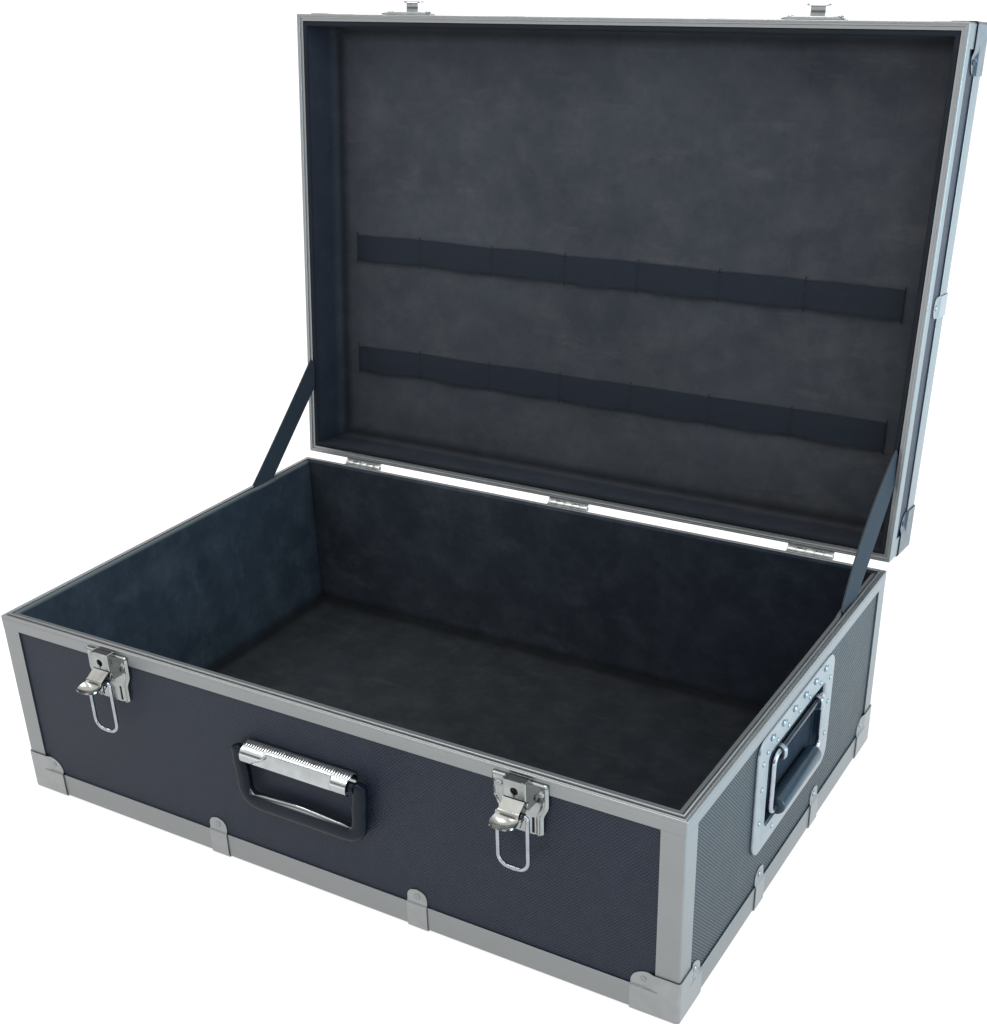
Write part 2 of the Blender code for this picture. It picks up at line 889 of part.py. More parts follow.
def lever():
    """A latch lever in (along, up, out), pointing out from its axle."""
    rise = lever_rise
    reach = lever_length
    path = [
        (-reach * 0.10, rise * 0.86),
        (reach * 0.04, rise),
        (reach * 0.30, rise),
        (reach * 0.38, rise * 0.60),
        (reach * 0.48, rise * 0.36),
        (reach * 0.62, rise * 0.30),
        (reach * 0.76, rise * 0.52),
        (reach * 0.89, rise * 1.05),
        (reach, rise * 1.75),
    ]
    root = lever_root_width / 2
    spoon = lever_spoon_width / 2
    widths = [root, root, root, root, root * 1.02, spoon * 0.96, spoon, spoon * 0.90, spoon * 0.52]
    dip = lever_sheet
    dishes = [0.0, 0.0, 0.0, dip * 0.3, dip, dip * 1.4, dip * 1.4, dip, dip * 0.4]
    skin = ribbon(path, widths, lever_sheet, dishes)
    depth = lever_flange_depth
    flange = flat_plate(
        rounded(
            [
                (-reach * 0.11, rise * 0.9),
                (-reach * 0.12, -depth * 0.6),
                (reach * 0.10, -depth),
                (reach * 0.44, -depth),
                (reach * 0.60, rise * 0.25),
                (reach * 0.38, rise * 0.55),
                (reach * 0.31, rise * 0.95),
            ],
            [0.0, lever_sheet, lever_sheet, 2 * lever_sheet, 0.0, 0.0, 0.0],
            3,
        ),
        lever_sheet,
    )
    flange = moved(flange, section_turn)
    offset = root - lever_sheet / 2 - lining_edge
    body = combined("UNION", skin, shifted(flange, x=offset), shifted(flange, x=-offset))
    axle = cylinder(lever_axle_radius + fit_gap, 2 * lever_root_width, "X")
    pin = cylinder(bail_wire_radius + fit_gap, 2 * lever_root_width, "X")
    pin = shifted(pin, y=-bail_offset, z=bail_arm)
    slot = shifted(
        block((-root * 0.3, 0.0, 0.0), (root * 0.3, 2 * rise, lever_sheet)), z=reach * 0.16
    )
    return combined("DIFFERENCE", body, axle, pin, slot)


def bail():
    """A wire bail in (along, up, out), with its pins on the origin and its bend outwards."""
    half = bail_width / 2 - bail_wire_radius
    inner = half - bail_pin_length
    corners = [
        (-inner, 0.0, 0.0),
        (-half, 0.0, 0.0),
        (-half, 0.0, bail_length),
        (half, 0.0, bail_length),
        (half, 0.0, 0.0),
        (inner, 0.0, 0.0),
    ]
    tight = 1.5 * bail_wire_radius
    path = bent_path(corners, [tight, bail_corner_radius, bail_corner_radius, tight])
    return round_wire(path, bail_wire_radius)


def spring():
    """A torsion spring round the bail's right pin, in the lever's (along, up, out)."""
    coil = bail_wire_radius + fit_gap + spring_wire_radius
    start = lever_root_width / 2 + fit_gap + spring_wire_radius
    steps = int(spring_turns * spring_turn_points)
    path = [(start, -bail_offset - coil, bail_arm + spring_leg)]
    for step in range(steps + 1):
        turn = step / spring_turn_points
        angle = 2 * math.pi * turn
        path.append(
            (
                start + spring_pitch * turn,
                -bail_offset - coil * math.cos(angle),
                bail_arm - coil * math.sin(angle),
            )
        )
    path.append((path[-1][0], path[-1][1], bail_arm + spring_leg * 0.6))
    return round_wire(path, spring_wire_radius)


def lock_plug():
    """The lock's cylinder behind the keyhole, about its own axis."""
    plug = cylinder(plug_radius, plug_length)
    slit = block(
        (-keyhole_slit_width * 0.35, -plug_radius * 0.7, plug_length / 2 - keyhole_slit_width / 2),
        (keyhole_slit_width * 0.35, plug_radius * 0.7, plug_length),
    )
    return combined("DIFFERENCE", plug, slit)


def strike():
    """The hooked plate that a bail catches, in (along, up, out) from the lid's seam."""
    half = strike_width / 2
    top = strike_drop + strike_height
    outline = rounded(
        [
            (-half, strike_drop),
            (half, strike_drop),
            (half, strike_drop + strike_height * 0.5),
            (half * 0.74, top),
            (-half * 0.74, top),
            (-half, strike_drop + strike_height * 0.5),
        ],
        latch_corner_radius,
    )
    back = fit_gap
    front = fit_gap + strike_sheet
    plate = shifted(flat_plate(outline, strike_sheet), z=(back + front) / 2)
    shelf_top = strike_hook_rise
    shelf = block(
        (-strike_hook_width / 2, shelf_top - strike_sheet, front - strike_sheet / 2),
        (strike_hook_width / 2, shelf_top, strike_reach),
    )
    lip_corners = rectangle(strike_lip_width / 2, strike_lip_height / 2)
    lip = shifted(
        flat_plate(rounded(lip_corners, latch_corner_radius), strike_sheet),
        y=shelf_top - strike_sheet + strike_lip_height / 2,
        z=strike_reach - strike_sheet / 2,
    )
    return combined("UNION", plate, shelf, lip)


def saddle():
    """The front handle's saddle plate, in (along, up, out) from the seam."""
    back = -board_face + fit_gap + saddle_sheet / 2
    low = -handle_axis_drop - handle_thickness * 1.4
    high = -saddle_top
    axis = (handle_axis_proud, -handle_axis_drop)
    curl = handle_stub_radius + fit_gap + saddle_sheet / 2
    tongue = [
        (back, low),
        (back, high - saddle_sheet),
        (back + saddle_sheet, high - saddle_sheet / 2),
        (axis[0] * 0.60, high - saddle_sheet),
        (axis[0] + curl * 0.72, axis[1] - curl * 1.05),
    ]
    cover = [(back, low), (back, high - 2 * saddle_sheet), (back + saddle_sheet, high - saddle_sheet)]
    cover += arc(axis, curl, 115.0, -25.0)
    ear = [
        (back, high - 2 * saddle_sheet),
        (axis[0] * 0.60, high - 1.5 * saddle_sheet),
        (axis[0] + curl * 0.64, axis[1] - curl * 0.95),
        (axis[0], axis[1] - curl),
        (back, low + saddle_sheet),
    ]
    inner = saddle_tongue_half_width
    body = bar(sheet_outline(tongue, saddle_sheet), 2 * inner)
    width = saddle_half_width - inner + saddle_sheet / 2
    for side in (-1, 1):
        hood = bar(sheet_outline(cover, saddle_sheet), width)
        body = combined("UNION", body, shifted(hood, x=side * (saddle_half_width - width / 2)))
        cheek = bar(ear, saddle_sheet)
        body = combined("UNION", body, shifted(cheek, x=side * (inner - saddle_sheet)))
    pins = shifted(cylinder(lever_axle_radius + fit_gap, case_width / 2, "X"), y=axis[1], z=axis[0])
    return combined("DIFFERENCE", body, pins)


def softened(mesh, width, segments=2):
    """Round a mesh's sharp edges."""
    body = bmesh.new()
    body.from_mesh(mesh)
    bmesh.ops.dissolve_limit(
        body, angle_limit=math.radians(1.0), verts=body.verts, edges=body.edges
    )
    sharp = [edge for edge in body.edges if edge.calc_face_angle(0.0) > math.radians(50.0)]
    bmesh.ops.bevel(
        body,
        geom=sharp,
        offset=width,
        segments=segments,
        profile=0.5,
        affect="EDGES",
        clamp_overlap=True,
    )
    result = bpy.data.meshes.new("softened")
    body.to_mesh(result)
    body.free()
    return result


def front_grip():
    """The front handle's grip, in (along, up, out) from its axis."""
    outer = handle_half_width
    narrow = outer - handle_arm_width
    wide = outer - handle_arm_wide
    top = handle_stub_radius
    step = -handle_axis_drop * 0.20
    low = -handle_drop
    window = low + handle_bar_height
    bend = handle_corner_radius
    outline = rounded(
        [
            (-outer, low),
            (outer, low),
            (outer, top),
            (narrow, top),
            (narrow, step + 4 * fit_gap),
            (wide, step - 8 * fit_gap),
            (wide, window),
            (-wide, window),
            (-wide, step - 8 * fit_gap),
            (-narrow, step + 4 * fit_gap),
            (-narrow, top),
            (-outer, top),
        ],
        [bend, bend, top * 0.8, top * 0.4, 0.001, 0.001, bend * 0.4, bend * 0.4, 0.001, 0.001]
        + [top * 0.4, top * 0.8],
    )
    body = flat_plate(outline, handle_thickness)
    body = shifted(body, z=handle_thickness / 2 - handle_axis_proud + handle_clear)
    stub = cylinder(handle_stub_radius, narrow - saddle_tongue_half_width, "X", 20)
    pin = cylinder(lever_axle_radius + fit_gap, narrow, "X")
    for side in (-1, 1):
        place = side * (narrow + saddle_tongue_half_width + 4 * fit_gap) / 2
        body = combined("UNION", body, shifted(stub, x=place))
    for side in (-1, 1):
        middle = side * (outer - handle_arm_width / 2 - narrow / 2)
        body = combined("DIFFERENCE", body, shifted(pin, x=middle))
    return body


def prism_between(low_ring, low, high_ring, high):
    """A solid between two outlines of equal count at two heights along Z."""
    return loft([[(x, y, low) for x, y in low_ring], [(x, y, high) for x, y in high_ring]])


def tray_ring(grow, bend):
    """The side tray's outline, larger or smaller by a margin."""
    centre = (0.0, -tray_drop - tray_height / 2)
    corners = rectangle(tray_length / 2 + grow, tray_height / 2 + grow, centre)
    return rounded(corners, bend)


def side_dish():
    """The recessed plate of a side handle, in (along, up, out) from its top edge's middle."""
    back = -board_face + fit_gap
    front = back + dish_sheet
    corners = rectangle(dish_length / 2, dish_height / 2, (0.0, -dish_height / 2))
    plate = shifted(flat_plate(rounded(corners, dish_corner_radius, 5), dish_sheet), z=(back + front) / 2)
    low = front - tray_depth - tray_sheet
    bend = tray_corner_radius
    outer = prism_between(
        tray_ring(tray_sheet - tray_draft, bend), low, tray_ring(tray_sheet, bend), back + dish_sheet / 2
    )
    inner = prism_between(
        tray_ring(-tray_draft, bend), front - tray_depth, tray_ring(fit_gap, bend), front + tray_sheet
    )
    ears = []
    top = -tray_drop - rod_inset - side_bail_radius
    for side in (-1, 1):
        middle = side * ear_place
        ears.append(
            block(
                (middle - ear_width / 2, top + ear_height * 0.5 - ear_height, back + dish_sheet / 2),
                (middle + ear_width / 2, top + ear_height * 0.62, ear_proud),
            )
        )
    body = combined("UNION", plate, outer)
    body = combined("DIFFERENCE", body, inner)
    body = combined("UNION", body, *ears)
    rod = cylinder(side_bail_radius + fit_gap, tray_length * 0.9, "X")
    return combined("DIFFERENCE", body, shifted(rod, y=top, z=rod_proud))


def side_bail():
    """A side handle's closed wire ring, in (along, up, out) from its axis."""
    half = side_bail_half_width
    corners = rectangle(half, side_bail_length / 2, (0.0, -side_bail_length / 2))
    ring = rounded(corners, side_bail_corner_radius)
    start = ring.index(max(ring, key=lambda point: (round(point[1], 6), point[0])))
    ring = ring[start:] + ring[:start]
    return round_wire([(x, y, 0.0) for x, y in ring], side_bail_radius, closed=True, resolution=3)


def side_grip():
    """The moulded grip on a side handle's lower bar."""
    tube = softened(cylinder(side_grip_radius, 2 * side_grip_half_length, "X", 24), 0.0016)
    bore = cylinder(side_bail_radius + fit_gap, 4 * side_grip_half_length, "X")
    return combined("DIFFERENCE", tube, bore)


def dish_cover(end):
    """The raised pad of lining over a side tray, in (along, up, out) from the plate's top."""
    back = -board_face + fit_gap + dish_sheet - tray_depth - tray_sheet
    inner = back - fit_gap - dish_cover_thickness
    margin = dish_cover_slope
    bend = 2 * tray_corner_radius
    return prism_between(tray_ring(0.0, bend), inner, tray_ring(margin, bend), end)


def dish_pocket():
    """The hollow in board and lining that a side tray sits in."""
    back = -board_face + fit_gap + dish_sheet - tray_depth - tray_sheet
    bend = tray_corner_radius
    return prism_between(
        tray_ring(3 * fit_gap, bend), back - fit_gap, tray_ring(3 * fit_gap, bend), tray_sheet
    )


def elastic(depth):
    """One stitched elastic under the lid's lining, where the closed lid has it."""
    top = lid_lining_underside - fit_gap - elastic_thickness / 2
    path = []
    loops = list(zip(elastic_loop_shares, elastic_loop_shares[1:]))
    for number, (start, end) in enumerate(loops):
        for step in range(elastic_points_a_loop + (number == len(loops) - 1)):
            share = step / elastic_points_a_loop
            across = (start + (end - start) * share) * 2 - 1
            sag = elastic_bulge * math.sin(math.pi * share)
            path.append((across * elastic_half_length, top - sag))
    band = flat_plate(sheet_outline(path, elastic_thickness), elastic_width)
    return moved(
        band, Matrix.Translation((0, -half_depth + depth, 0)) @ Matrix.Rotation(math.pi / 2, 4, "X")
    )


def stay_ends(side):
    """Where a stay is fixed on the base and, with the lid open, on the lid."""
    x = side * (half_width - lining_face - fit_gap - stay_thickness / 2)
    low = Vector((x, half_depth - stay_base_from_back, seam_z - stay_base_drop))
    high = Vector((x, half_depth - stay_lid_from_back, lid_seam_z + stay_lid_rise))
    axis = Vector((0.0, hinge_y, hinge_z))
    turned = Matrix.Rotation(-lid_open_angle, 3, "X") @ (high - Vector((x, *axis.yz)))
    return low, Vector((x, *axis.yz)) + turned


def stay(side):
    """A webbing stay, taut between its ends."""
    low, high = stay_ends(side)
    run = (high - low).length + stay_width * 0.9
    rise = math.atan2(high.z - low.z, high.y - low.y)
    strip = block(
        (-stay_thickness / 2, -run / 2, -stay_width / 2), (stay_thickness / 2, run / 2, stay_width / 2)
    )
    return moved(strip, Matrix.Translation((low + high) / 2) @ Matrix.Rotation(rise, 4, "X"))


def edge_frame(section, post, clips):
    """An edge profile with its four corner posts and its riveted clips, as one frame."""
    body = case_ring(section, edge_radius)
    return combined("UNION", body, *four_corners(post).values(), *clips)


def build_base():
    """The lower half of the case."""
    outer_x = half_width - board_face
    outer_y = half_depth - board_face
    wall_low = floor_panel_top + fit_gap
    wall_high = seam_z - rim_web - fit_gap
    floor_panel = board(outer_x, outer_y, floor_panel_underside, floor_panel_top)
    add("base_floor_panel", floor_panel, laminate)
    add("base_front_panel", long_wall(True, wall_low, wall_high), laminate)
    add("base_back_panel", long_wall(False, wall_low, wall_high), laminate)
    inner_x = half_width - board_back - fit_gap
    inner_y = half_depth - board_back - fit_gap
    lining = case_ring(lining_section(seam_z, -1, wall_low))
    floor = board(inner_x - lining_edge, inner_y - lining_edge, wall_low, floor_lining_top)
    lining = combined("UNION", lining, floor)
    for word in ("left", "right"):
        frame = face_frame(word, wall_origin(word, dish_shift, seam_z - dish_drop))
        pocket = moved(dish_pocket(), frame)
        wall = combined("DIFFERENCE", short_wall(word == "right", wall_low, wall_high), pocket)
        add(f"base_{word}_panel", wall, laminate)
        pad = moved(dish_cover(-lining_back - fit_gap), frame)
        lining = combined("DIFFERENCE", combined("UNION", lining, pad), pocket)
    add("base_lining", lining, cloth)
    post = corner_post(frame_bottom + edge_leg - profile_wall, seam_z - rim_height - fit_gap)
    clips = edge_clips(clip_places(front_clip_share, side_clip_share), frame_bottom, 1)
    frame = edge_frame(edge_section(frame_bottom, 1), post, clips)
    add("base_edge_frame", frame, aluminium, smooth=True)
    add("base_rim_profile", case_ring(rim_section(seam_z, -1, True), rim_corner_ease), aluminium)
    cap = shifted(corner_cap(), -half_width, -half_depth, frame_bottom)
    for word, mesh in four_corners(cap).items():
        add(f"base_corner_cap_{word}", mesh, nickel, smooth=True)


def build_lid():
    """The lid, built closed and swung open about its hinges."""
    axis = Vector((0.0, hinge_y, hinge_z))
    lid = pivot("lid_axis", Matrix.Translation(axis) @ Matrix.Rotation(-lid_open_angle, 4, "X"))

    def add_lid(name, mesh, material, smooth=False):
        return add(name, shifted(mesh, *(-axis)), material, parent=lid, smooth=smooth)

    outer_x = half_width - board_face
    outer_y = half_depth - board_face
    wall_low = lid_seam_z + rim_web + fit_gap
    wall_high = lid_board_underside - fit_gap
    add_lid("lid_top_panel", board(outer_x, outer_y, lid_board_underside, lid_board_top), laminate)
    add_lid("lid_front_panel", long_wall(True, wall_low, wall_high), laminate)
    add_lid("lid_back_panel", long_wall(False, wall_low, wall_high), laminate)
    add_lid("lid_left_panel", short_wall(False, wall_low, wall_high), laminate)
    add_lid("lid_right_panel", short_wall(True, wall_low, wall_high), laminate)
    inner_x = half_width - board_back - fit_gap - lining_edge
    inner_y = half_depth - board_back - fit_gap - lining_edge
    lining = case_ring(lining_section(lid_seam_z, 1, wall_high))
    top = board(inner_x, inner_y, lid_lining_underside, wall_high)
    add_lid("lid_lining", combined("UNION", lining, top), cloth)
    post = corner_post(lid_seam_z + rim_height + fit_gap, lid_top_z - edge_leg + profile_wall)
    clips = edge_clips(clip_places(front_clip_share, 0.0, (1,)), lid_top_z, -1)
    frame = edge_frame(edge_section(lid_top_z, -1), post, clips)
    add_lid("lid_edge_frame", frame, aluminium, smooth=True)
    rim = case_ring(rim_section(lid_seam_z, 1, False), rim_corner_ease)
    add_lid("lid_rim_profile", rim, aluminium)
    cap = moved(corner_cap(), Matrix.Diagonal((1.0, 1.0, -1.0, 1.0)))
    cap = shifted(cap, -half_width, -half_depth, lid_top_z)
    for word, mesh in four_corners(cap).items():
        add_lid(f"lid_corner_cap_{word}", mesh, nickel, smooth=True)
    for end, word in ((-1, "left"), (1, "right")):
        frame = face_frame("front", wall_origin("front", end * latch_spread, lid_seam_z))
        add_lid(f"lid_strike_{word}", moved(strike(), frame), nickel)
        add(f"stay_{word}", stay(end), webbing)
    for word, depth in zip(("front", "back"), elastic_depths):
        add_lid(f"lid_elastic_{word}", elastic(depth), webbing)
    for word, share in (("left", -1), ("middle", 0), ("right", 1)):
        frame = face_frame("back", wall_origin("back", share * hinge_spread, hinge_z))
        add(f"hinge_{word}_base_leaf", moved(hinge_leaf(-1), frame), nickel, smooth=True)
        add_lid(f"hinge_{word}_lid_leaf", moved(hinge_leaf(1), frame), nickel, smooth=True)
        pin = cylinder(hinge_pin_radius, hinge_width, "X")
        place = Matrix.Translation((share * hinge_spread, hinge_y, hinge_z))
        add(f"hinge_{word}_pin", pin, nickel, place=place, smooth=True)


def build_latch(word, x, rest_angle):
    """A latch with its lever part way down and its bail hanging free."""
    frame = face_frame("front", wall_origin("front", x, seam_z))
    add(f"latch_{word}_plate", moved(latch_plate(), frame), nickel)
    axis = Matrix.Translation((0.0, -lever_pivot_drop, lever_pivot_proud))
    lever_axis = pivot(
        f"latch_{word}_lever_axis", frame @ axis @ Matrix.Rotation(-rest_angle, 4, "X")
    )
    add(f"latch_{word}_lever", lever(), nickel, parent=lever_axis, smooth=True)
    add(f"latch_{word}_spring", spring(), nickel, parent=lever_axis, smooth=True)
    hang = math.radians(-90.0) - rest_angle
    bail_place = Matrix.Translation((0.0, -bail_offset, bail_arm)) @ Matrix.Rotation(-hang, 4, "X")
    bail_axis = pivot(f"latch_{word}_bail_axis", bail_place, parent=lever_axis)
    add(f"latch_{word}_bail", bail(), nickel, parent=bail_axis, smooth=True)
    axle = cylinder(lever_axle_radius, box_width + lever_sheet, "X")
    add(f"latch_{word}_lever_axle", axle, nickel, place=frame @ axis, smooth=True)
    depth = box_proud - latch_sheet - fit_gap - plug_length / 2
    plug = Matrix.Translation((0.0, -box_top - keyhole_drop, depth))
    add(f"latch_{word}_lock_plug", lock_plug(), nickel, place=frame @ plug, smooth=True)


def build_front_handle():
    """The front handle, hanging down."""
    frame = face_frame("front", wall_origin("front", 0.0, seam_z))
    add("front_handle_saddle", moved(saddle(), frame), nickel, smooth=True)
    axis = frame @ Matrix.Translation((0.0, -handle_axis_drop, handle_axis_proud))
    grip_axis = pivot("front_handle_axis", axis)
    add("front_handle_grip", front_grip(), black_plastic, parent=grip_axis, smooth=True)
    rod = cylinder(lever_axle_radius, 2 * handle_half_width - handle_arm_width, "X")
    add("front_handle_pivot_rod", rod, nickel, place=axis, smooth=True)


def build_side_handle(word):
    """A side handle, hanging in its recessed plate."""
    frame = face_frame(word, wall_origin(word, dish_shift, seam_z - dish_drop))
    add(f"side_handle_{word}_dish", moved(side_dish(), frame), nickel)
    drop = -tray_drop - rod_inset - side_bail_radius
    axis = pivot(f"side_handle_{word}_axis", frame @ Matrix.Translation((0.0, drop, rod_proud)))
    add(f"side_handle_{word}_bail", side_bail(), nickel, parent=axis, smooth=True)
    low = Matrix.Translation((0.0, -side_bail_length, 0.0))
    add(f"side_handle_{word}_grip", side_grip(), black_plastic, parent=axis, place=low, smooth=True)


build_base()
build_lid()
build_latch("left", -latch_spread, lever_rest_angles[0])
build_latch("right", latch_spread, lever_rest_angles[1])
build_front_handle()
build_side_handle("left")
build_side_handle("right")
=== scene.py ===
"""Looks of an open aluminium carrying case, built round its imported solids."""
import math

import bmesh
import bpy
import numpy as np
from mathutils import Matrix, Vector


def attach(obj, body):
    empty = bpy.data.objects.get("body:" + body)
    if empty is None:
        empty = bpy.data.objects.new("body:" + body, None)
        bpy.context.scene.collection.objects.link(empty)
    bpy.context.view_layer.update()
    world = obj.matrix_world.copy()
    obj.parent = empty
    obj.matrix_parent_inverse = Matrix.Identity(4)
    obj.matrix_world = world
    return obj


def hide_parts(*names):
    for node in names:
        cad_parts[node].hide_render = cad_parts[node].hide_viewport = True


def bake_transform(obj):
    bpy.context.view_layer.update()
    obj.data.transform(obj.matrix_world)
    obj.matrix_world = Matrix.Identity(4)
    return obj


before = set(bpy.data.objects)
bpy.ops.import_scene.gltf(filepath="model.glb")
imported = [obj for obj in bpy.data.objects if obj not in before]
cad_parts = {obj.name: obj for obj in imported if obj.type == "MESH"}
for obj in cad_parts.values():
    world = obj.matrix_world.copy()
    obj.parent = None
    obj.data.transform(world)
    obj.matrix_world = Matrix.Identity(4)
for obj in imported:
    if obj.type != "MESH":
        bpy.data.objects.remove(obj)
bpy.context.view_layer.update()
mm = 0.001

# The case, in metres about the middle of the cavity's floor
half_x, half_y = 325 * mm, 219.5 * mm
bottom, seam = -9.5 * mm, 167.5 * mm
lid_seam, lid_top = 167.8 * mm, 228.8 * mm
hinge_y, hinge_z = 224.5 * mm, 167.65 * mm
open_turn = math.radians(95.8)
latch_x = 198.51 * mm
lever_rests = {"left": math.radians(-28), "right": math.radians(-40)}
droops = {"left": math.radians(18), "right": math.radians(6)}     # of the spoons
sheet = 1.2 * mm
fit_gap = 0.3 * mm
outer = fit_gap + sheet               # where a plate on a wall has its face
proud = 1.1 * mm                      # how far clips and caps stand out
clip_step = 1.6 * mm                  # how far their ends step in, past the edge strip
step_ends = 22.6 * mm, 24.6 * mm      # where they do
lining_face = 10.8 * mm               # from a half's outside to its lining's face
axle = 0, -20.5 * mm, 7.5 * mm        # a lever's axle in (along, up, out) from the seam
bail_pin = 0, -0.9 * mm, 8.2 * mm     # a bail's pins from that axle
lock_drop = -10.1 * mm                # the keyhole's middle
hinge_spots = {"left": -252 * mm, "middle": 0.0, "right": 252 * mm}


# Places
def place(x=0.0, y=0.0, z=0.0):
    """A shift."""
    return Matrix.Translation((x, y, z))


def turn(axis, angle):
    """A turn about one of the axes."""
    return Matrix.Rotation(angle, 4, axis)


def on_wall(side, along, up):
    """Local (along, up, out) axes on an outer wall."""
    way, out, x, y = {
        "front": ((1, 0, 0), (0, -1, 0), along, -half_y),
        "back": ((-1, 0, 0), (0, 1, 0), along, half_y),
        "right": ((0, 1, 0), (1, 0, 0), half_x, along),
        "left": ((0, -1, 0), (-1, 0, 0), -half_x, along),
    }[side]
    return place(x, y, up) @ Matrix((way, (0, 0, 1), out)).transposed().to_4x4()


lid_turn = place(0, hinge_y, hinge_z) @ turn("X", -open_turn) @ place(0, -hinge_y, -hinge_z)


# Surfaces
def unit(vectors):
    """The vectors' directions."""
    return vectors / np.maximum(np.linalg.norm(vectors, axis=-1, keepdims=True), 1e-12)


def ease(values, low, high):
    """0 below low, 1 above high, and a smooth step between them."""
    share = np.clip((values - low) / (high - low), 0, 1)
    return share * share * (3 - 2 * share)


def bell(values, middle, reach, power=2):
    """1 in the middle, falling to either side as exp(-((value - middle) / reach)^power)."""
    return np.exp(-(((values - middle) / reach) ** power))


def grid(*parts):
    """Points from coordinates that spread over one another."""
    return np.stack(np.broadcast_arrays(*parts), -1)


def looped(line):
    """The line with its first point again at its end."""
    return np.concatenate((line, line[:1]))


def running(points, axis):
    """The distance run so far along one way of a grid."""
    steps = np.linalg.norm(np.diff(points, axis=axis), axis=-1)
    return np.concatenate((np.zeros_like(np.take(steps, [0], axis)), np.cumsum(steps, axis)), axis)


def surface(points, shade=0.0, uv=None):
    """Quads over a grid of points, with metres along and across it as its UV."""
    points = np.asarray(points, float)
    n, m = points.shape[:2]
    if uv is None:
        uv = np.stack((running(points, 0), running(points, 1)), -1)
    index = np.arange(n * m).reshape(n, m)
    quads = np.stack((index[:-1, :-1], index[1:, :-1], index[1:, 1:], index[:-1, 1:]), -1)
    shade = np.broadcast_to(shade, (n, m))
    return points.reshape(-1, 3), quads.reshape(-1, 4), uv.reshape(-1, 2), shade.reshape(-1)


def shell(face, rear, shade=0.0, inner=0.0):
    """A closed sheet: its face, its rear and the four edges between them."""
    edges = [(face[0], rear[0]), (face[-1], rear[-1]), (face[:, 0], rear[:, 0]), (face[:, -1], rear[:, -1])]
    return [surface(face, shade), surface(rear, inner)] + [surface(np.stack(pair, 1)) for pair in edges]


def thick(face, depth, shade=0.0, inner=0.0):
    """A closed sheet whose rear lies a depth behind the face, along the face's normals."""
    normal = unit(np.cross(np.gradient(face, axis=0), np.gradient(face, axis=1)))
    return shell(face, face - normal * depth, shade, inner)


def fillet(corners, radii, steps=6, closed=False):
    """A line through corners, each eased by a circle's arc of its radius."""
    corners = np.asarray(corners, float)
    count = len(corners)
    radii = np.broadcast_to(radii, count)
    parts = []
    for number, corner in enumerate(corners):
        radius = radii[number]
        if radius == 0 or not closed and number in (0, count - 1):
            parts.append(corner[None])
            continue
        back, ahead = unit(corners[number - 1] - corner), unit(corners[(number + 1) % count] - corner)
        half = math.acos(np.clip(back @ ahead, -1, 1)) / 2
        if math.pi / 2 - half < 1e-3:
            parts.append(corner[None])
            continue
        centre = corner + unit(back + ahead) * radius / math.sin(half)
        first, last = (corner + way * radius / math.tan(half) - centre for way in (back, ahead))
        swing = math.pi - 2 * half
        share = np.linspace(0, 1, steps + 1)[:, None]
        arc = first * np.sin(swing * (1 - share)) + last * np.sin(swing * share)
        parts.append(centre + arc / math.sin(swing))
    return np.concatenate(parts)


def flowing(points, steps=6):
    """A smooth line through points: between each pair runs the cubic whose slopes are the neighbours' mean step."""
    points = np.asarray(points, float)
    slope = np.gradient(points, axis=0)
    t = np.linspace(0, 1, steps, endpoint=False)[None, :, None]
    a, b, u, v = points[:-1, None], points[1:, None], slope[:-1, None], slope[1:, None]
    line = a * (2 * t**3 - 3 * t**2 + 1) + u * (t**3 - 2 * t**2 + t) + b * (3 * t**2 - 2 * t**3) + v * (t**3 - t**2)
    return np.concatenate((line.reshape(-1, points.shape[1]), points[-1:]))


def resampled(line, spacing):
    """The same line with points no further apart than a spacing."""
    parts = [line[:1]]
    for first, last in zip(line, line[1:]):
        count = max(int(math.ceil(np.linalg.norm(last - first) / spacing)), 1)
        parts.append(first + (last - first) * np.arange(1, count + 1)[:, None] / count)
    return np.concatenate(parts)


def tube(path, wide, deep, plane, closed=False, sides=16, square=2.0, shade=0.0):
    """A rounded section carried along a path, wide in the path's plane and deep along its normal.

    The section is the curve |a/wide|^square + |b/deep|^square = 1, and open ends close to a point.
    """
    path = np.asarray(path, float)
    wide, deep = (np.broadcast_to(size, len(path))[:, None, None] for size in (wide, deep))
    ahead = np.roll(path, -1, 0) - np.roll(path, 1, 0) if closed else np.gradient(path, axis=0)
    ahead = unit(ahead)
    side = unit(np.cross(np.asarray(plane, float), ahead))
    up = np.cross(ahead, side)
    angle = np.linspace(0, 2 * np.pi, sides + 1)
    a, b = (np.sign(w) * np.abs(w) ** (2 / square) for w in (np.cos(angle), np.sin(angle)))
    points = path[:, None] + wide * a[:, None] * side[:, None] + deep * b[:, None] * up[:, None]
    if closed:
        return [surface(looped(points))]
    ends = [np.repeat(path[end][None, None], sides + 1, 1) for end in (0, -1)]
    return [surface(np.concatenate((ends[0], points, ends[1])), shade)]


def revolved(profile, sides=24, shade=0.0):
    """A profile of (radius, height) turned about the local Z axis."""
    radius, height = np.asarray(profile, float).T
    angle = np.linspace(0, 2 * np.pi, sides + 1)[:, None]
    points = np.stack((radius * np.cos(angle), radius * np.sin(angle), height + 0 * angle), -1)
    return [surface(points, shade)]


def rod(radius, low, high, sides=24, soften=0.3 * mm):
    """A round bar along the local Z axis with softened ends."""
    line = [(0, low), (radius, low), (radius, high), (0, high)]
    return revolved(fillet(line, soften, 3), sides)


def rivet(radius=2.7 * mm, height=1.1 * mm):
    """A domed head with a small dimple where it was set."""
    shares = [(0, 0.72), (0.16, 0.74), (0.30, 1), (0.62, 0.88), (0.88, 0.5), (1, 0.08)]
    profile = [(radius * r, height * h) for r, h in shares] + [(radius, -0.4 * mm), (0, -0.4 * mm)]
    # Painted shade in the dimple and round the head's edge.
    shade = np.array([0.5, 0.3, 0, 0, 0, 0.5, 0.8, 0.8])
    return revolved(profile, 18, shade)


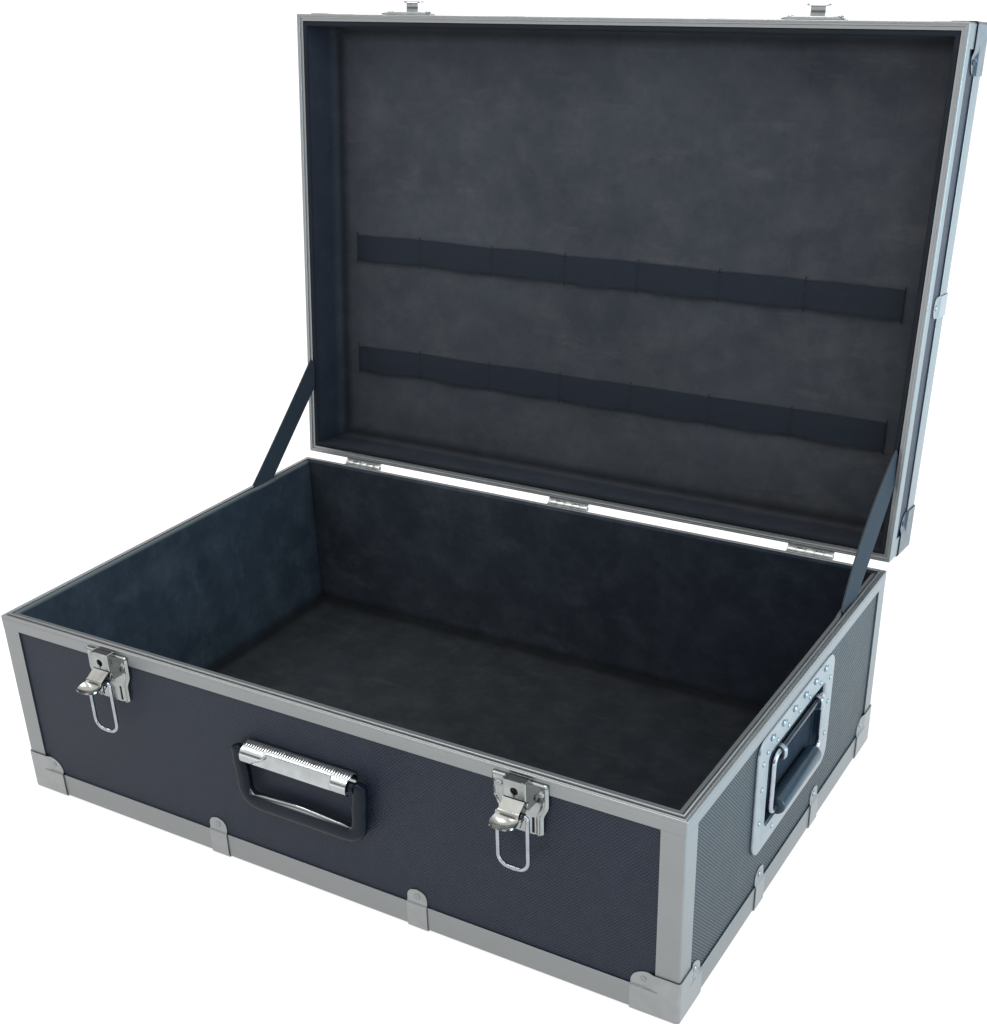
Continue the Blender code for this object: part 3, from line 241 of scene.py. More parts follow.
def ring(section, bend, spacing=1.0, steps=5, x=half_x, y=half_y, shade=0.0):
    """A closed section of (inward, up) points carried round a rectangle with rounded corners.

    A point of the path is p + (bend - inward) d: p lies on the rectangle of the corners' centres and d points
    outwards. Past the bend it is p held within the rectangle that far in, so the corners become mitres.
    """
    inner = np.array((x - bend, y - bend))
    p, d = [], []
    for k in range(4):
        angle = -np.pi / 2 + k * np.pi / 2
        out = np.round((np.cos(angle), np.sin(angle)))
        along = np.array((-out[1], out[0]))
        length = 2 * abs(along @ inner)
        count = max(int(round(length / spacing)), 1)
        run = np.linspace(-0.5, 0.5, count + 1)[:, None] * length
        p.append(out * inner + along * run)
        d.append(np.repeat(out[None], count + 1, 0))
        arc = np.linspace(angle, angle + np.pi / 2, steps + 1)[1:-1, None]
        p.append(np.repeat(((out + along) * inner)[None], steps - 1, 0))
        d.append(np.concatenate((np.cos(arc), np.sin(arc)), 1))
    p, d = (np.concatenate(part + part[:1])[: 1 - len(part[0]) or None] for part in (p, d))
    inward, up = np.asarray(section, float).T[:, None, :]
    keep = np.stack((x - np.maximum(inward, bend), y - np.maximum(inward, bend)), -1)
    flat = np.clip(p[:, None], -keep, keep) + np.maximum(bend - inward, 0)[..., None] * d[:, None]
    points = np.concatenate((flat, up[..., None] + 0 * flat[..., :1]), -1)
    run = running((p + bend * d)[:, None], 0)
    across = running(np.asarray(section, float)[None], 1)
    uv = grid(run, across)
    return surface(points, shade, uv)


def plate(columns, rows, half_width, height, rear=fit_gap, shade=None):
    """A pressed sheet in (along, up, out): columns stop at the outline's half width at each row.

    The face's height is a function of (along, up), and the rear is flat.
    """
    width = np.broadcast_to(half_width, len(rows))[:, None]
    across = np.clip(np.asarray(columns)[None], -width, width)
    up = np.asarray(rows)[:, None] + 0 * across
    face = np.stack((across, up, height(across, up) + 0 * across), -1)
    back = np.stack((across, up, rear + 0 * across), -1)
    return shell(face, back, shade(across, up) if shade else 0.0)


def moved(surfaces, matrix):
    """The surfaces carried by a matrix."""
    matrix = np.array(matrix)
    return [(points @ matrix[:3, :3].T + matrix[:3, 3], *rest) for points, *rest in surfaces]


def piece(name, surfaces, finish, body, stands_for=(), sharp=38, bevel=0.0, level=0):
    """One mesh from surfaces: touching points merge, so seams and poles close, and faces turn outwards."""
    points, quads, uv, shade = (list(part) for part in zip(*surfaces))
    start = np.cumsum([0] + [len(part) for part in points])
    quads = np.concatenate([part + first for part, first in zip(quads, start)])
    points, uv, shade = (np.concatenate(part) for part in (points, uv, shade))
    mesh = bpy.data.meshes.new(name)
    mesh.vertices.add(len(points))
    mesh.vertices.foreach_set("co", points.astype(np.float32).ravel())
    mesh.loops.add(quads.size)
    mesh.loops.foreach_set("vertex_index", quads.ravel().astype(np.int32))
    mesh.polygons.add(len(quads))
    mesh.polygons.foreach_set("loop_start", np.arange(0, quads.size, 4, dtype=np.int32))
    mesh.update(calc_edges=True)
    mesh.uv_layers.new(name="metres").data.foreach_set("uv", uv[quads].astype(np.float32).ravel())
    mesh.attributes.new("shade", "FLOAT", "POINT").data.foreach_set("value", shade.astype(np.float32))
    body_mesh = bmesh.new()
    body_mesh.from_mesh(mesh)
    bmesh.ops.remove_doubles(body_mesh, verts=body_mesh.verts, dist=4e-6)
    bmesh.ops.dissolve_degenerate(body_mesh, dist=2e-6, edges=body_mesh.edges)
    bmesh.ops.recalc_face_normals(body_mesh, faces=body_mesh.faces)
    body_mesh.to_mesh(mesh)
    body_mesh.free()
    mesh.shade_smooth()
    mesh.set_sharp_from_angle(angle=math.radians(sharp))
    mesh.materials.append(finish)
    item = bpy.data.objects.new(name, mesh)
    bpy.context.scene.collection.objects.link(item)
    if bevel:
        edge = item.modifiers.new("edge", "BEVEL")
        edge.width, edge.segments, edge.limit_method = bevel, 2, "ANGLE"
        edge.angle_limit, edge.harden_normals = math.radians(50), True
    if level:
        smooth = item.modifiers.new("smooth", "SUBSURF")
        smooth.levels = smooth.render_levels = level
    if isinstance(body, str):
        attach(item, body)
    if stands_for:
        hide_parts(*([stands_for] if isinstance(stands_for, str) else stands_for))
    return item


# Finishes
class Sum:
    """A socket that takes part in sums: each operator adds a Math node."""

    def __init__(self, shader, socket):
        self.shader, self.socket = shader, socket

    def maths(self, operation, *others, clamp=False):
        settings = {"operation": operation, "use_clamp": clamp}
        node = self.shader.node("ShaderNodeMath", settings, dict(enumerate((self, *others))))
        return Sum(self.shader, node.outputs[0])

    def __add__(self, other): return self.maths("ADD", other)
    def __sub__(self, other): return self.maths("SUBTRACT", other)
    def __mul__(self, other): return self.maths("MULTIPLY", other)
    def __truediv__(self, other): return self.maths("DIVIDE", other)
    def __rsub__(self, other): return (self * -1) + other
    __radd__, __rmul__ = __add__, __mul__

    def sine(self): return self.maths("SINE")
    def size(self): return self.maths("ABSOLUTE")
    def held(self): return self.maths("ADD", 0.0, clamp=True)

    def step(self, low, high):
        """0 below low, 1 above high, and a straight line between."""
        return ((self - low) / (high - low)).held()


class Shader:
    """The nodes of one material, or of the world."""

    def __init__(self, owner):
        owner.use_nodes = True
        self.owner, self.tree = owner, owner.node_tree
        self.surface = self.tree.nodes.get("Principled BSDF") or self.tree.nodes["Background"]

    @classmethod
    def named(cls, name):
        return cls(bpy.data.materials.new(name))

    def node(self, kind, settings=None, inputs=None):
        """Any node: its settings come first, then the values and links of its sockets."""
        node = self.tree.nodes.new(kind)
        for key, value in (settings or {}).items():
            if key == "stops":
                ramp = node.color_ramp
                while len(ramp.elements) < len(value):
                    ramp.elements.new(0.5)
                for element, (at, colour) in zip(ramp.elements, value):
                    element.position, element.color = at, (*colour, 1)
            else:
                setattr(node, key, value)
        for key, value in (inputs or {}).items():
            self.feed(node.inputs[key], value)
        return node

    def feed(self, socket, value):
        value = value.socket if isinstance(value, Sum) else value
        if isinstance(value, bpy.types.NodeSocket):
            self.tree.links.new(value, socket)
        elif isinstance(value, tuple) and len(value) == 3 and socket.type == "RGBA":
            socket.default_value = (*value, 1)
        else:
            socket.default_value = value

    def set(self, **values):
        for key, value in values.items():
            self.feed(self.surface.inputs[key.replace("_", " ")], value)
        return self.owner

    def object_place(self, angle=0.0):
        """Object coordinates, turned about X to where the closed lid has them if it needs it."""
        socket = self.node("ShaderNodeTexCoord").outputs["Object"]
        if angle:
            c, s = math.cos(angle), math.sin(angle)
            shift = (0, hinge_y * (1 - c) + hinge_z * s, hinge_z * (1 - c) - hinge_y * s)
            places = {"Vector": socket, "Rotation": (angle, 0, 0), "Location": shift}
            socket = self.node("ShaderNodeMapping", {}, places).outputs[0]
        return socket

    def metres(self):
        return self.node("ShaderNodeUVMap", {"uv_map": "metres"}).outputs[0]

    def split(self, vector):
        node = self.node("ShaderNodeSeparateXYZ", {}, {0: vector})
        return [Sum(self, socket) for socket in node.outputs]

    def scaled(self, vector, x, y, z):
        return self.product(vector, (x, y, z))

    def product(self, first, second):
        return self.node("ShaderNodeVectorMath", {"operation": "MULTIPLY"}, {0: first, 1: second}).outputs[0]

    def noise(self, vector, scale, detail=3.0, rough=0.5):
        values = {"Vector": vector, "Scale": scale, "Detail": detail, "Roughness": rough}
        return Sum(self, self.node("ShaderNodeTexNoise", {}, values).outputs["Fac"])

    def shade(self):
        """The piece's painted shade: 0 in the open, 1 in a hole and where shade falls; below 0, a painted
        highlight.
        """
        return Sum(self, self.node("ShaderNodeAttribute", {"attribute_name": "shade"}).outputs["Fac"])

    def mix(self, share, low, high):
        node = self.node("ShaderNodeMix", {"data_type": "RGBA"})
        for socket, value in ((node.inputs[0], share), (node.inputs[6], low), (node.inputs[7], high)):
            self.feed(socket, value)
        return node.outputs[2]

    def bump(self, height, distance, strength=1.0, under=None):
        node = self.node("ShaderNodeBump", {}, {"Height": height, "Distance": distance, "Strength": strength})
        if under:
            self.tree.links.new(under, node.inputs["Normal"])
        return node.outputs[0]


def laminate(name, angle=0.0, level=False, low=(0.0035, 0.0062, 0.0140), high=(0.0125, 0.0185, 0.0350), rise=0.42):
    """Slate laminate embossed with two families of fine diagonal ridges, which cross as small diamonds.

    rise is the rising ridges' share of the height.
    """
    s = Shader.named(name)
    where = s.object_place(angle)
    x, y, z = s.split(where)
    along, up = (x, y) if level else (x + y, z)
    pitch = 2 * math.pi / (3.1 * mm)
    rising, falling = ((along - up) * pitch).sine(), ((along + up) * pitch).sine()
    weave = rising * rise + falling * (1 - rise)
    cloud = s.noise(where, 9, 4)
    dust = s.noise(where, 60, 5, 0.7).step(0.45, 0.8)
    colour = s.mix((weave * 0.6 + 0.5).held(), low, high)
    colour = s.mix(cloud.step(0.35, 0.75) * 0.30, colour, (0.015, 0.019, 0.032))
    colour = s.mix(dust * 0.04, colour, (0.20, 0.20, 0.21))
    rough = cloud * 0.10 + dust * 0.08 + 0.40
    gloss = (falling * 0.8 + rising * 0.25).held() * 0.4
    s.surface.inputs["Coat Roughness"].default_value = 0.24
    return s.set(Base_Color=colour, Roughness=rough, Normal=s.bump(weave, 0.20 * mm),
                 Specular_IOR_Level=0.18, Coat_Weight=gloss)


def aluminium(name="satin_aluminium_finish"):
    """Satin anodised extrusion: drawn lines along each length, and a faint bloom."""
    s = Shader.named(name)
    drawn = s.scaled(s.metres(), 6, 2600, 1)
    line = s.noise(drawn, 1.0, 4, 0.6)
    cloud = s.noise(s.object_place(), 26, 4)
    spots = s.noise(s.object_place(), 240, 3).step(0.66, 0.80)
    colour = s.mix((line * 0.8 + cloud * 0.4 - 0.1).held(), (0.222, 0.227, 0.228), (0.312, 0.318, 0.319))
    colour = s.mix(spots * 0.14, colour, (0.22, 0.22, 0.22))
    # Painted shade: where the piece's shade marks it, as in the rim's groove, the satin turns near black and less
    # metallic.
    colour = s.mix(s.shade().held(), colour, (0.03, 0.03, 0.035))
    rough = line * 0.14 + cloud * 0.10 + spots * 0.1 + 0.30
    metal = 1 - s.shade().held() * 0.9
    return s.set(Base_Color=colour, Roughness=rough, Metallic=metal, Normal=s.bump(line, 0.02 * mm))


def plated(name, light, dark, rough, ripple=0.03, bloom=1.0):
    """Bright plating on pressed steel, with smudges, hairlines and a dull bloom, and painted shade in corners and
    holes.
    """
    s = Shader.named(name)
    where = s.object_place()
    smudge = s.noise(where, 90, 4)
    hair = s.noise(s.scaled(where, 300, 2200, 300), 1, 3, 0.7)
    wave = s.noise(where, 160, 1)
    colour = s.mix((smudge * 1.5 - 0.25).held(), dark, light)
    # Painted shade: where the piece's shade marks it, the plating turns near black, rough and hardly metallic.
    colour = s.mix(s.shade().held(), colour, (0.012, 0.012, 0.014))
    grain = smudge.step(0.35, 0.75) * 0.12 * bloom + hair.step(0.5, 0.85) * 0.06 * bloom
    grain = grain + s.shade().held() * 0.6 + rough
    normal = s.bump(wave + hair * 0.06, ripple * mm)
    return s.set(Base_Color=colour, Roughness=grain, Metallic=1 - s.shade().held() * 0.95, Normal=normal)


def cloth(name, low, high, patch, walls, edge, light_gradient, angle=0.0):
    """Matt flocked lining: a fine nap, brushed patches and pale smears.

    The walls and the far part are the middle's colour times a tint, painted light and shade from how light falls
    there. A positive shade paints shade in folds and corners, and a negative shade paints the top edge in the edge
    colour: a painted highlight when that colour is pale, painted shade when it is dark. walls is (tint, start, end)
    over the height, and light_gradient is (axis, start, end, tint) along the lining.
    """
    s = Shader.named(name)
    where = s.object_place(angle)
    place_of = s.split(where)
    nap = s.noise(where, 1500, 3, 0.7)
    brushed = s.noise(s.scaled(where, 5, 9, 7), 1, 5, 0.62)
    smear = s.noise(s.scaled(where, 12, 46, 26), 1, 5, 0.72).step(0.57, 0.74)
    wisp = s.noise(s.scaled(where, 30, 9, 24), 1, 6, 0.75).step(0.60, 0.72)
    tuft = s.noise(where, 130, 4, 0.6)
    mottle = s.noise(where, 28, 5, 0.65)
    colour = s.mix((brushed * 2.2 - 0.6).held(), low, high)
    colour = s.mix(mottle.step(0.42, 0.72) * 0.40, colour, patch)
    colour = s.mix(smear * 0.40, colour, patch)
    colour = s.mix(wisp * 0.30, colour, patch)
    colour = s.mix((nap * 1.6 - 0.45).held() * 0.25, colour, patch)
    colour = s.mix(tuft.step(0.40, 0.70) * 0.25, colour, low)
    wall_light_tint, wall_start, wall_end = walls
    axis, light_gradient_start, light_gradient_end, light_gradient_tint = light_gradient
    # Painted light and shade: the walls and the lining's far part are tinted lighter and darker by how light falls.
    wall_share, light_gradient_share = place_of[2].step(wall_start, wall_end), place_of[axis].step(light_gradient_start, light_gradient_end)
    for share, tint in ((wall_share, wall_light_tint), (light_gradient_share, light_gradient_tint)):
        colour = s.product(colour, s.mix(share, (1.0, 1.0, 1.0), tint))
    # Painted shade in folds and corners, where the piece's shade marks them.
    colour = s.mix(s.shade().held() * 0.85, colour, (0.002, 0.002, 0.003))
    # A negative shade paints the top edge in the edge colour: a painted highlight when pale, painted shade when
    # dark.
    colour = s.mix((s.shade() * -1).held(), colour, edge)
    normal = s.bump(nap * 0.35 + tuft * 0.8, 0.25 * mm, 0.7)
    return s.set(Base_Color=colour, Roughness=(0.92 - smear * 0.12), Normal=normal, Specular_IOR_Level=0.10)


def woven(name, low, high):
    """Narrow webbing: ribs across it, a chevron of picks, and painted shade where the piece's shade marks it."""
    s = Shader.named(name)
    along, across, _ = s.split(s.metres())
    picks = ((along * (2 * math.pi / (1.5 * mm))) + (across * (2 * math.pi / (3 * mm))).sine() * 1.2).sine()
    ends = (across * (2 * math.pi / (1.1 * mm))).sine()
    fuzz = s.noise(s.object_place(), 900, 3, 0.7)
    colour = s.mix((picks * 0.3 + fuzz * 0.9).held(), low, high)
    # Painted shade: near black where the piece's shade marks it, such as an elastic band's lower edge and its
    # stitch dips.
    colour = s.mix(s.shade().held() * 0.8, colour, (0.001, 0.001, 0.002))
    normal = s.bump(picks * 0.6 + ends * 0.3 + fuzz * 0.5, 0.16 * mm)
    return s.set(Base_Color=colour, Roughness=(0.72 + fuzz * 0.2), Normal=normal, Specular_IOR_Level=0.3)


def moulded(name, low, high, level=0.14, gloss=None):
    """Moulded plastic with faint flow marks and handling scuffs, polished where gloss (low, high, reach) says."""
    s = Shader.named(name)
    where = s.object_place()
    x, _, z = s.split(where)
    scuff = s.noise(s.scaled(where, 120, 500, 120), 1, 4, 0.7).step(0.55, 0.85)
    flow = s.noise(where, 30, 3)
    colour = s.mix((flow * 1.4 - 0.3).held(), low, high)
    normal = s.bump(flow, 0.15 * mm)
    s.surface.inputs["Coat Roughness"].default_value = 0.10
    s.surface.inputs["Coat IOR"].default_value = 3.2
    polish = 0.0
    if gloss:
        low_edge, high_edge, reach = gloss
        polish = z.step(low_edge, low_edge + 2 * mm) * z.step(high_edge + 2 * mm, high_edge)
        polish = polish * x.step(reach, reach - 3 * mm) * x.step(-reach, 3 * mm - reach)
    return s.set(Base_Color=colour, Roughness=scuff * 0.14 + flow * 0.06 + 0.22, Normal=normal,
                 Specular_IOR_Level=level, Coat_Weight=polish)


def dark_steel(name="dark_steel"):
    """Blackened steel with a fine grain."""
    s = Shader.named(name)
    grain = s.noise(s.object_place(), 700, 3)
    colour = s.mix(grain, (0.010, 0.010, 0.012), (0.05, 0.05, 0.055))
    return s.set(Base_Color=colour, Roughness=grain * 0.3 + 0.35, Metallic=1.0)


slate_base = laminate("slate_laminate")
# The side panels' copy is lighter and bluer: painted light, as the side panels catch the light from the right.
slate_side_lit = laminate("slate_laminate_side_painted_light", low=(0.0080, 0.0150, 0.0175), high=(0.022, 0.037, 0.043), rise=0.08)
slate_floor = laminate("slate_laminate_underside", level=True)
slate_lid = laminate("slate_laminate_lid", open_turn)
slate_lid_top = laminate("slate_laminate_lid_top", open_turn, level=True)
satin = aluminium()
nickel = plated("nickel_plating", (0.400, 0.412, 0.402), (0.245, 0.255, 0.252), 0.13, 0.07)
lever_steel = plated("lever_plating", (0.345, 0.345, 0.320), (0.220, 0.222, 0.215), 0.12, 0.02)
pressed = plated("dull_plating", (0.345, 0.35, 0.35), (0.275, 0.28, 0.28), 0.30, 0.015)
hood = plated("hood_plating", (0.47, 0.485, 0.49), (0.36, 0.375, 0.38), 0.10, 0.006)
# A dark copy of the plating, as painted shade and painted reflection: on the lid's caps and the side handles'
# sleeves.
shade_plating = plated("painted_shade_plating", (0.060, 0.075, 0.095), (0.028, 0.036, 0.048), 0.22, 0.015)
zinc = plated("zinc_plating", (0.34, 0.375, 0.395), (0.27, 0.30, 0.32), 0.28, 0.010, 0.6)
wire = plated("bright_wire", (0.43, 0.44, 0.47), (0.27, 0.28, 0.31), 0.16, 0.02)
barrel = plated("hinge_plating", (0.62, 0.63, 0.62), (0.48, 0.49, 0.48), 0.36, 0.003, 0.5)
lid_floor = lid_top - 9.5 * mm
# The base's walls are painted lighter and bluer and its right part darker, as light falls there; its pale edge
# colour is a painted highlight.
base_cloth = cloth(
    "base_lining_cloth", (0.0072, 0.0088, 0.0108), (0.0135, 0.0158, 0.0185), patch=(0.036, 0.038, 0.040),
    walls=((1.72, 1.85, 2.10), 3 * mm, 12 * mm), edge=(0.095, 0.100, 0.100),
    light_gradient=(0, -0.10, 0.26, (0.58, 0.62, 0.70)))
# The lid's walls are painted darker and its part near the hinge a little darker, as shade falls there; its dark
# edge colour is painted shade.
lid_cloth = cloth(
    "lid_lining_cloth", (0.026, 0.029, 0.037), (0.050, 0.054, 0.066), patch=(0.080, 0.081, 0.085),
    walls=((0.50, 0.52, 0.60), lid_floor - 5 * mm, lid_floor - 15 * mm), edge=(0.010, 0.012, 0.015),
    light_gradient=(1, -0.20, 0.21, (0.88, 0.90, 0.88)), angle=open_turn)
elastic_weave = woven("elastic_weave", (0.0042, 0.0068, 0.0125), (0.0115, 0.0170, 0.0285))
stay_weave = woven("stay_weave", (0.012, 0.016, 0.022), (0.038, 0.046, 0.058))
thread = woven("sewing_thread", (0.004, 0.005, 0.008), (0.012, 0.014, 0.020))
handle_black = moulded("black_handle_moulding", (0.0030, 0.0055, 0.0105), (0.0062, 0.0100, 0.0175),
                       gloss=(0.0734, 0.0780, 0.0510))
black = moulded("slate_grip_moulding", (0.014, 0.026, 0.038), (0.024, 0.040, 0.056), 0.30)
# A dark moulding over the side plates' trays: painted reflection and shade, where the pressed tray reflects the
# dark grip.
tray_painted_reflection = moulded("dark_tray_painted_reflection", (0.004, 0.009, 0.017), (0.010, 0.020, 0.033), 0.12)
# Blackened steel: the springs' own finish, and painted shade on the lock plugs.
blackened_and_shade = dark_steel()


# Boards
boards = {"base_floor_panel": slate_floor, "lid_top_panel": slate_lid_top}
boards.update({"base_left_panel": slate_side_lit, "base_right_panel": slate_side_lit})
for name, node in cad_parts.items():
    kind = nickel
    if name.endswith("_panel"):
        kind = boards.get(name, slate_lid if name.startswith("lid") else slate_base)
    # The lock plugs take the blackened steel as painted shade, so each keyhole reads as a dark hole.
    elif name.endswith("lock_plug"):
        kind = blackened_and_shade
    node.material_slots[0].material = kind


# Rims
def rim(plane, way, tongue):
    """The rim extrusion: a flat outer face with a fine line, two beads on top with a nick between, an inner lip."""
    line = [(0, 12), (0, 2.75), (0.35, 2.5), (0, 2.25), (0, 0), (1.75, 0), (1.95, 0.45), (2.15, 0), (3.6, 0)]
    radii = [0.15, 0.15, 0.1, 0.15, 0.8, 0.55, 0.12, 0.55, 0.6]
    if tongue:
        line += [(3.6, 0.9), (4.3, 0.9), (4.3, -1.3), (6.2, -1.3)]
        radii += [0.2, 0.2, 0.7, 0.7]
    else:
        line += [(3.6, 1.7), (6.2, 1.7)]
        radii += [0.2, 0.2]
    line += [(6.2, 9), (5.2, 9), (5.2, 3), (1, 3), (1, 12)]
    radii += [0.2, 0.1, 0.1, 0.1, 0.1]
    section = fillet(line, radii, 5, closed=True) * mm
    section = looped(section) * (1, way) + (0, plane)
    depth = np.abs(section[:, 1] - plane) / mm
    # Painted shade in the groove between the top beads and the inner lip.
    groove_shade = 0.2 if tongue else 0.12
    shade = np.where((section[:, 0] > 3.55 * mm) & (section[:, 0] < 4.4 * mm) & (depth > 0.6), groove_shade, 0.0)
    return [ring(section, 1.2 * mm, shade=shade)]


piece("base_rim", rim(seam, -1, True), satin, "base", "base_rim_profile")
piece("lid_rim", moved(rim(lid_seam, 1, False), lid_turn), satin, "lid", "lid_rim_profile")


# Edge strips, posts, clips and caps
def strip(plane, way):
    """The angle extrusion round the lower edge: an L with a rounded heel and softened lips."""
    line = [(0, 22.5), (0, 0), (22.5, 0), (22.5, 1), (1, 1), (1, 22.5)]
    section = fillet(line, [0.4, 1.6, 0.4, 0.2, 0.4, 0.2], 6, closed=True) * mm
    section = looped(section) * (1, way) + (0, plane)
    return [ring(section, 1.6 * mm)]


def posts(low, high):
    """Four upright angles, each an L bent round a small radius."""
    leg = fillet([(19, 0), (0, 0), (0, 19)], 1.6, 8)
    leg = resampled(leg, 8) * mm
    height = np.array((low, high))
    face = np.stack((leg[:, None, 0] + 0 * height, leg[:, None, 1] + 0 * height, height + 0 * leg[:, None, 0]), -1)
    inner = np.clip(face[..., :2], 1 * mm, None)
    rear = np.concatenate((inner, face[..., 2:]), -1)
    made = []
    for sx in (-1, 1):
        for sy in (-1, 1):
            corner = place(sx * (half_x - 0.05 * mm), sy * (half_y - 0.05 * mm)) @ Matrix.Diagonal((-sx, -sy, 1, 1))
            made += moved(shell(face, rear), corner)
    return made


def clip():
    """A pressed clip in (along, up, out): it runs under, turns up round the strip, steps in and ends round."""
    up = fillet([(-23, -1.1), (1.1, -1.1), (1.1, 37)], 2.2, 6) * mm
    line = resampled(up, 1.5 * mm)
    out, rise = line.T
    tall = np.clip((rise - (37 - 9.2) * mm) / (9.2 * mm), 0, 1)
    half = np.maximum(9.2 * mm * np.sqrt(np.maximum(1 - tall**2.4, 0)), 0.2 * mm)
    columns = np.linspace(-1, 1, 13)
    sunk = clip_step * ease(rise, *step_ends)
    face = grid(columns * half[:, None], rise[:, None], (out - sunk)[:, None])
    # Painted shade along the crease where the clip steps in.
    shade = 0.35 * bell(rise, 23.4 * mm, 0.7 * mm)[:, None] + 0 * columns
    made = thick(face, -0.8 * mm, shade)
    under = turn("X", math.pi / 2) @ place(0, -14 * mm, proud)
    return made + moved(rivet(), place(0, 30 * mm, proud - clip_step)) + moved(rivet(), under)


def clips(plane, way, sides=(-1, 1)):
    """The clips of one half, at the same shares of each wall's length."""
    made = []
    reach = 0.2911 * half_y if len(sides) > 1 else 0
    spots = [(side, end * 0.3125 * half_x) for side in ("front", "back") for end in (-1, 1)]
    spots += [(side, end * reach) for side in ("left", "right") for end in sides]
    for side, along in spots:
        flip = Matrix.Diagonal((1, way, 1, 1))
        made += moved(clip(), on_wall(side, along, plane) @ flip)
    return made


def cap():
    """A pressed cap over a corner at the origin, in (x, y, up) inwards.

    Its path goes along one wall, round the corner and along the other. Rows run down the walls from an outline
    whose ends are quarter ellipses, round the lower bend, and in across the underside to the mitre.
    """
    centre = 1.3 * mm

    def points(out):
        """The cap's face that far out of the corner, and its shade."""
        bend = centre + out
        tip = 38.5 - 14 * np.linspace(0, 1, 15) ** 1.7
        leg = np.concatenate((tip, np.linspace(22.5, 17, 6), np.linspace(15, 1.3, 7))) * mm
        arc = np.linspace(0, np.pi / 2, 7)[1:-1]
        d = np.concatenate((leg, np.full(5, centre), leg[::-1]))
        phi = np.concatenate((np.zeros(len(leg)), arc, np.zeros(len(leg))))
        first = np.arange(len(d)) < len(leg)
        corner = (np.arange(len(d)) >= len(leg)) & (np.arange(len(d)) < len(leg) + 5)
        top = 25.5 * mm + 12.2 * mm * np.sqrt(np.clip(1 - (np.maximum(d - 23.5 * mm, 0) / (15 * mm)) ** 2, 0, 1))
        share = np.linspace(1, 0, 26)[:, None]
        walls = centre + (top[None] - centre) * share
        lower = np.linspace(0, np.pi / 2, 7)[1:, None]
        under = np.linspace(centre, 38.5 * mm, 14)[1:, None]
        up = np.concatenate((walls, centre - bend * np.sin(lower) + 0 * d, -out + 0 * under + 0 * d))
        inset = np.concatenate((0 * walls - out, centre - bend * np.cos(lower) + 0 * d, under + 0 * d))
        sunk = clip_step * ease(up, *step_ends) * ease(np.broadcast_to(d, up.shape), 19.0 * mm, 26 * mm)
        near = np.maximum(d, inset)
        a = np.where(first, near, inset + sunk)
        b = np.where(first, inset + sunk, near)
        away = np.maximum(centre - inset, 0)
        a = np.where(corner, np.where(inset < centre, centre - away * np.sin(phi), inset), a)
        b = np.where(corner, np.where(inset < centre, centre - away * np.cos(phi), inset), b)
        # Painted shade along the crease where the cap steps in past the strip.
        line = bell(up, 23.2 * mm, 0.6 * mm) * ease(np.broadcast_to(d, up.shape), 15 * mm, 18 * mm)
        return np.stack((a, b, up), -1), 0.45 * line

    face, shade = points(proud)
    made = shell(face, points(fit_gap)[0], shade)
    head = turn("X", math.pi / 2)
    made += moved(rivet(2.4 * mm, 1.0 * mm), place(28.5 * mm, 0.5 * mm, 30.5 * mm) @ head)
    swap = Matrix(((0, 1, 0, 0), (1, 0, 0, 0), (0, 0, 1, 0), (0, 0, 0, 1)))
    made += moved(rivet(2.4 * mm, 1.0 * mm), swap @ place(28.5 * mm, 0.5 * mm, 30.5 * mm) @ head)
    return made + moved(rivet(2.4 * mm, 0.9 * mm), place(17 * mm, 17 * mm, -proud) @ turn("X", math.pi))


piece("base_edge_strip", strip(bottom, 1), satin, "base", "base_edge_frame")
piece("base_posts", posts(bottom + 21 * mm, seam - 12 * mm), satin, "base", "base_edge_frame")
piece("base_clips", clips(bottom, 1), pressed, "base", "base_edge_frame")
lid_uprights = moved(posts(lid_seam + 12 * mm, lid_top - 21 * mm), lid_turn)
piece("lid_edge_strip", moved(strip(lid_top, -1), lid_turn), satin, "lid", "lid_edge_frame")
piece("lid_posts", lid_uprights, satin, "lid", "lid_edge_frame")
piece("lid_clips", moved(clips(lid_top, -1, (1,)), lid_turn), pressed, "lid", "lid_edge_frame")
for depth, sy in (("front", -1), ("back", 1)):
    for hand, sx in (("left", -1), ("right", 1)):
        low = place(sx * half_x, sy * half_y, bottom) @ Matrix.Diagonal((-sx, -sy, 1, 1))
        high = place(sx * half_x, sy * half_y, lid_top) @ Matrix.Diagonal((-sx, -sy, -1, 1))
        word = f"corner_cap_{depth}_{hand}"
        piece(f"base_{word}_shell", moved(cap(), low), pressed, "base", f"base_{word}")
        # The lid's caps are the base's pressed caps in the dark copy of the plating: painted shade and painted
        # reflection.
        piece(f"lid_{word}_shell", moved(cap(), lid_turn @ high), shade_plating, "lid", f"lid_{word}")


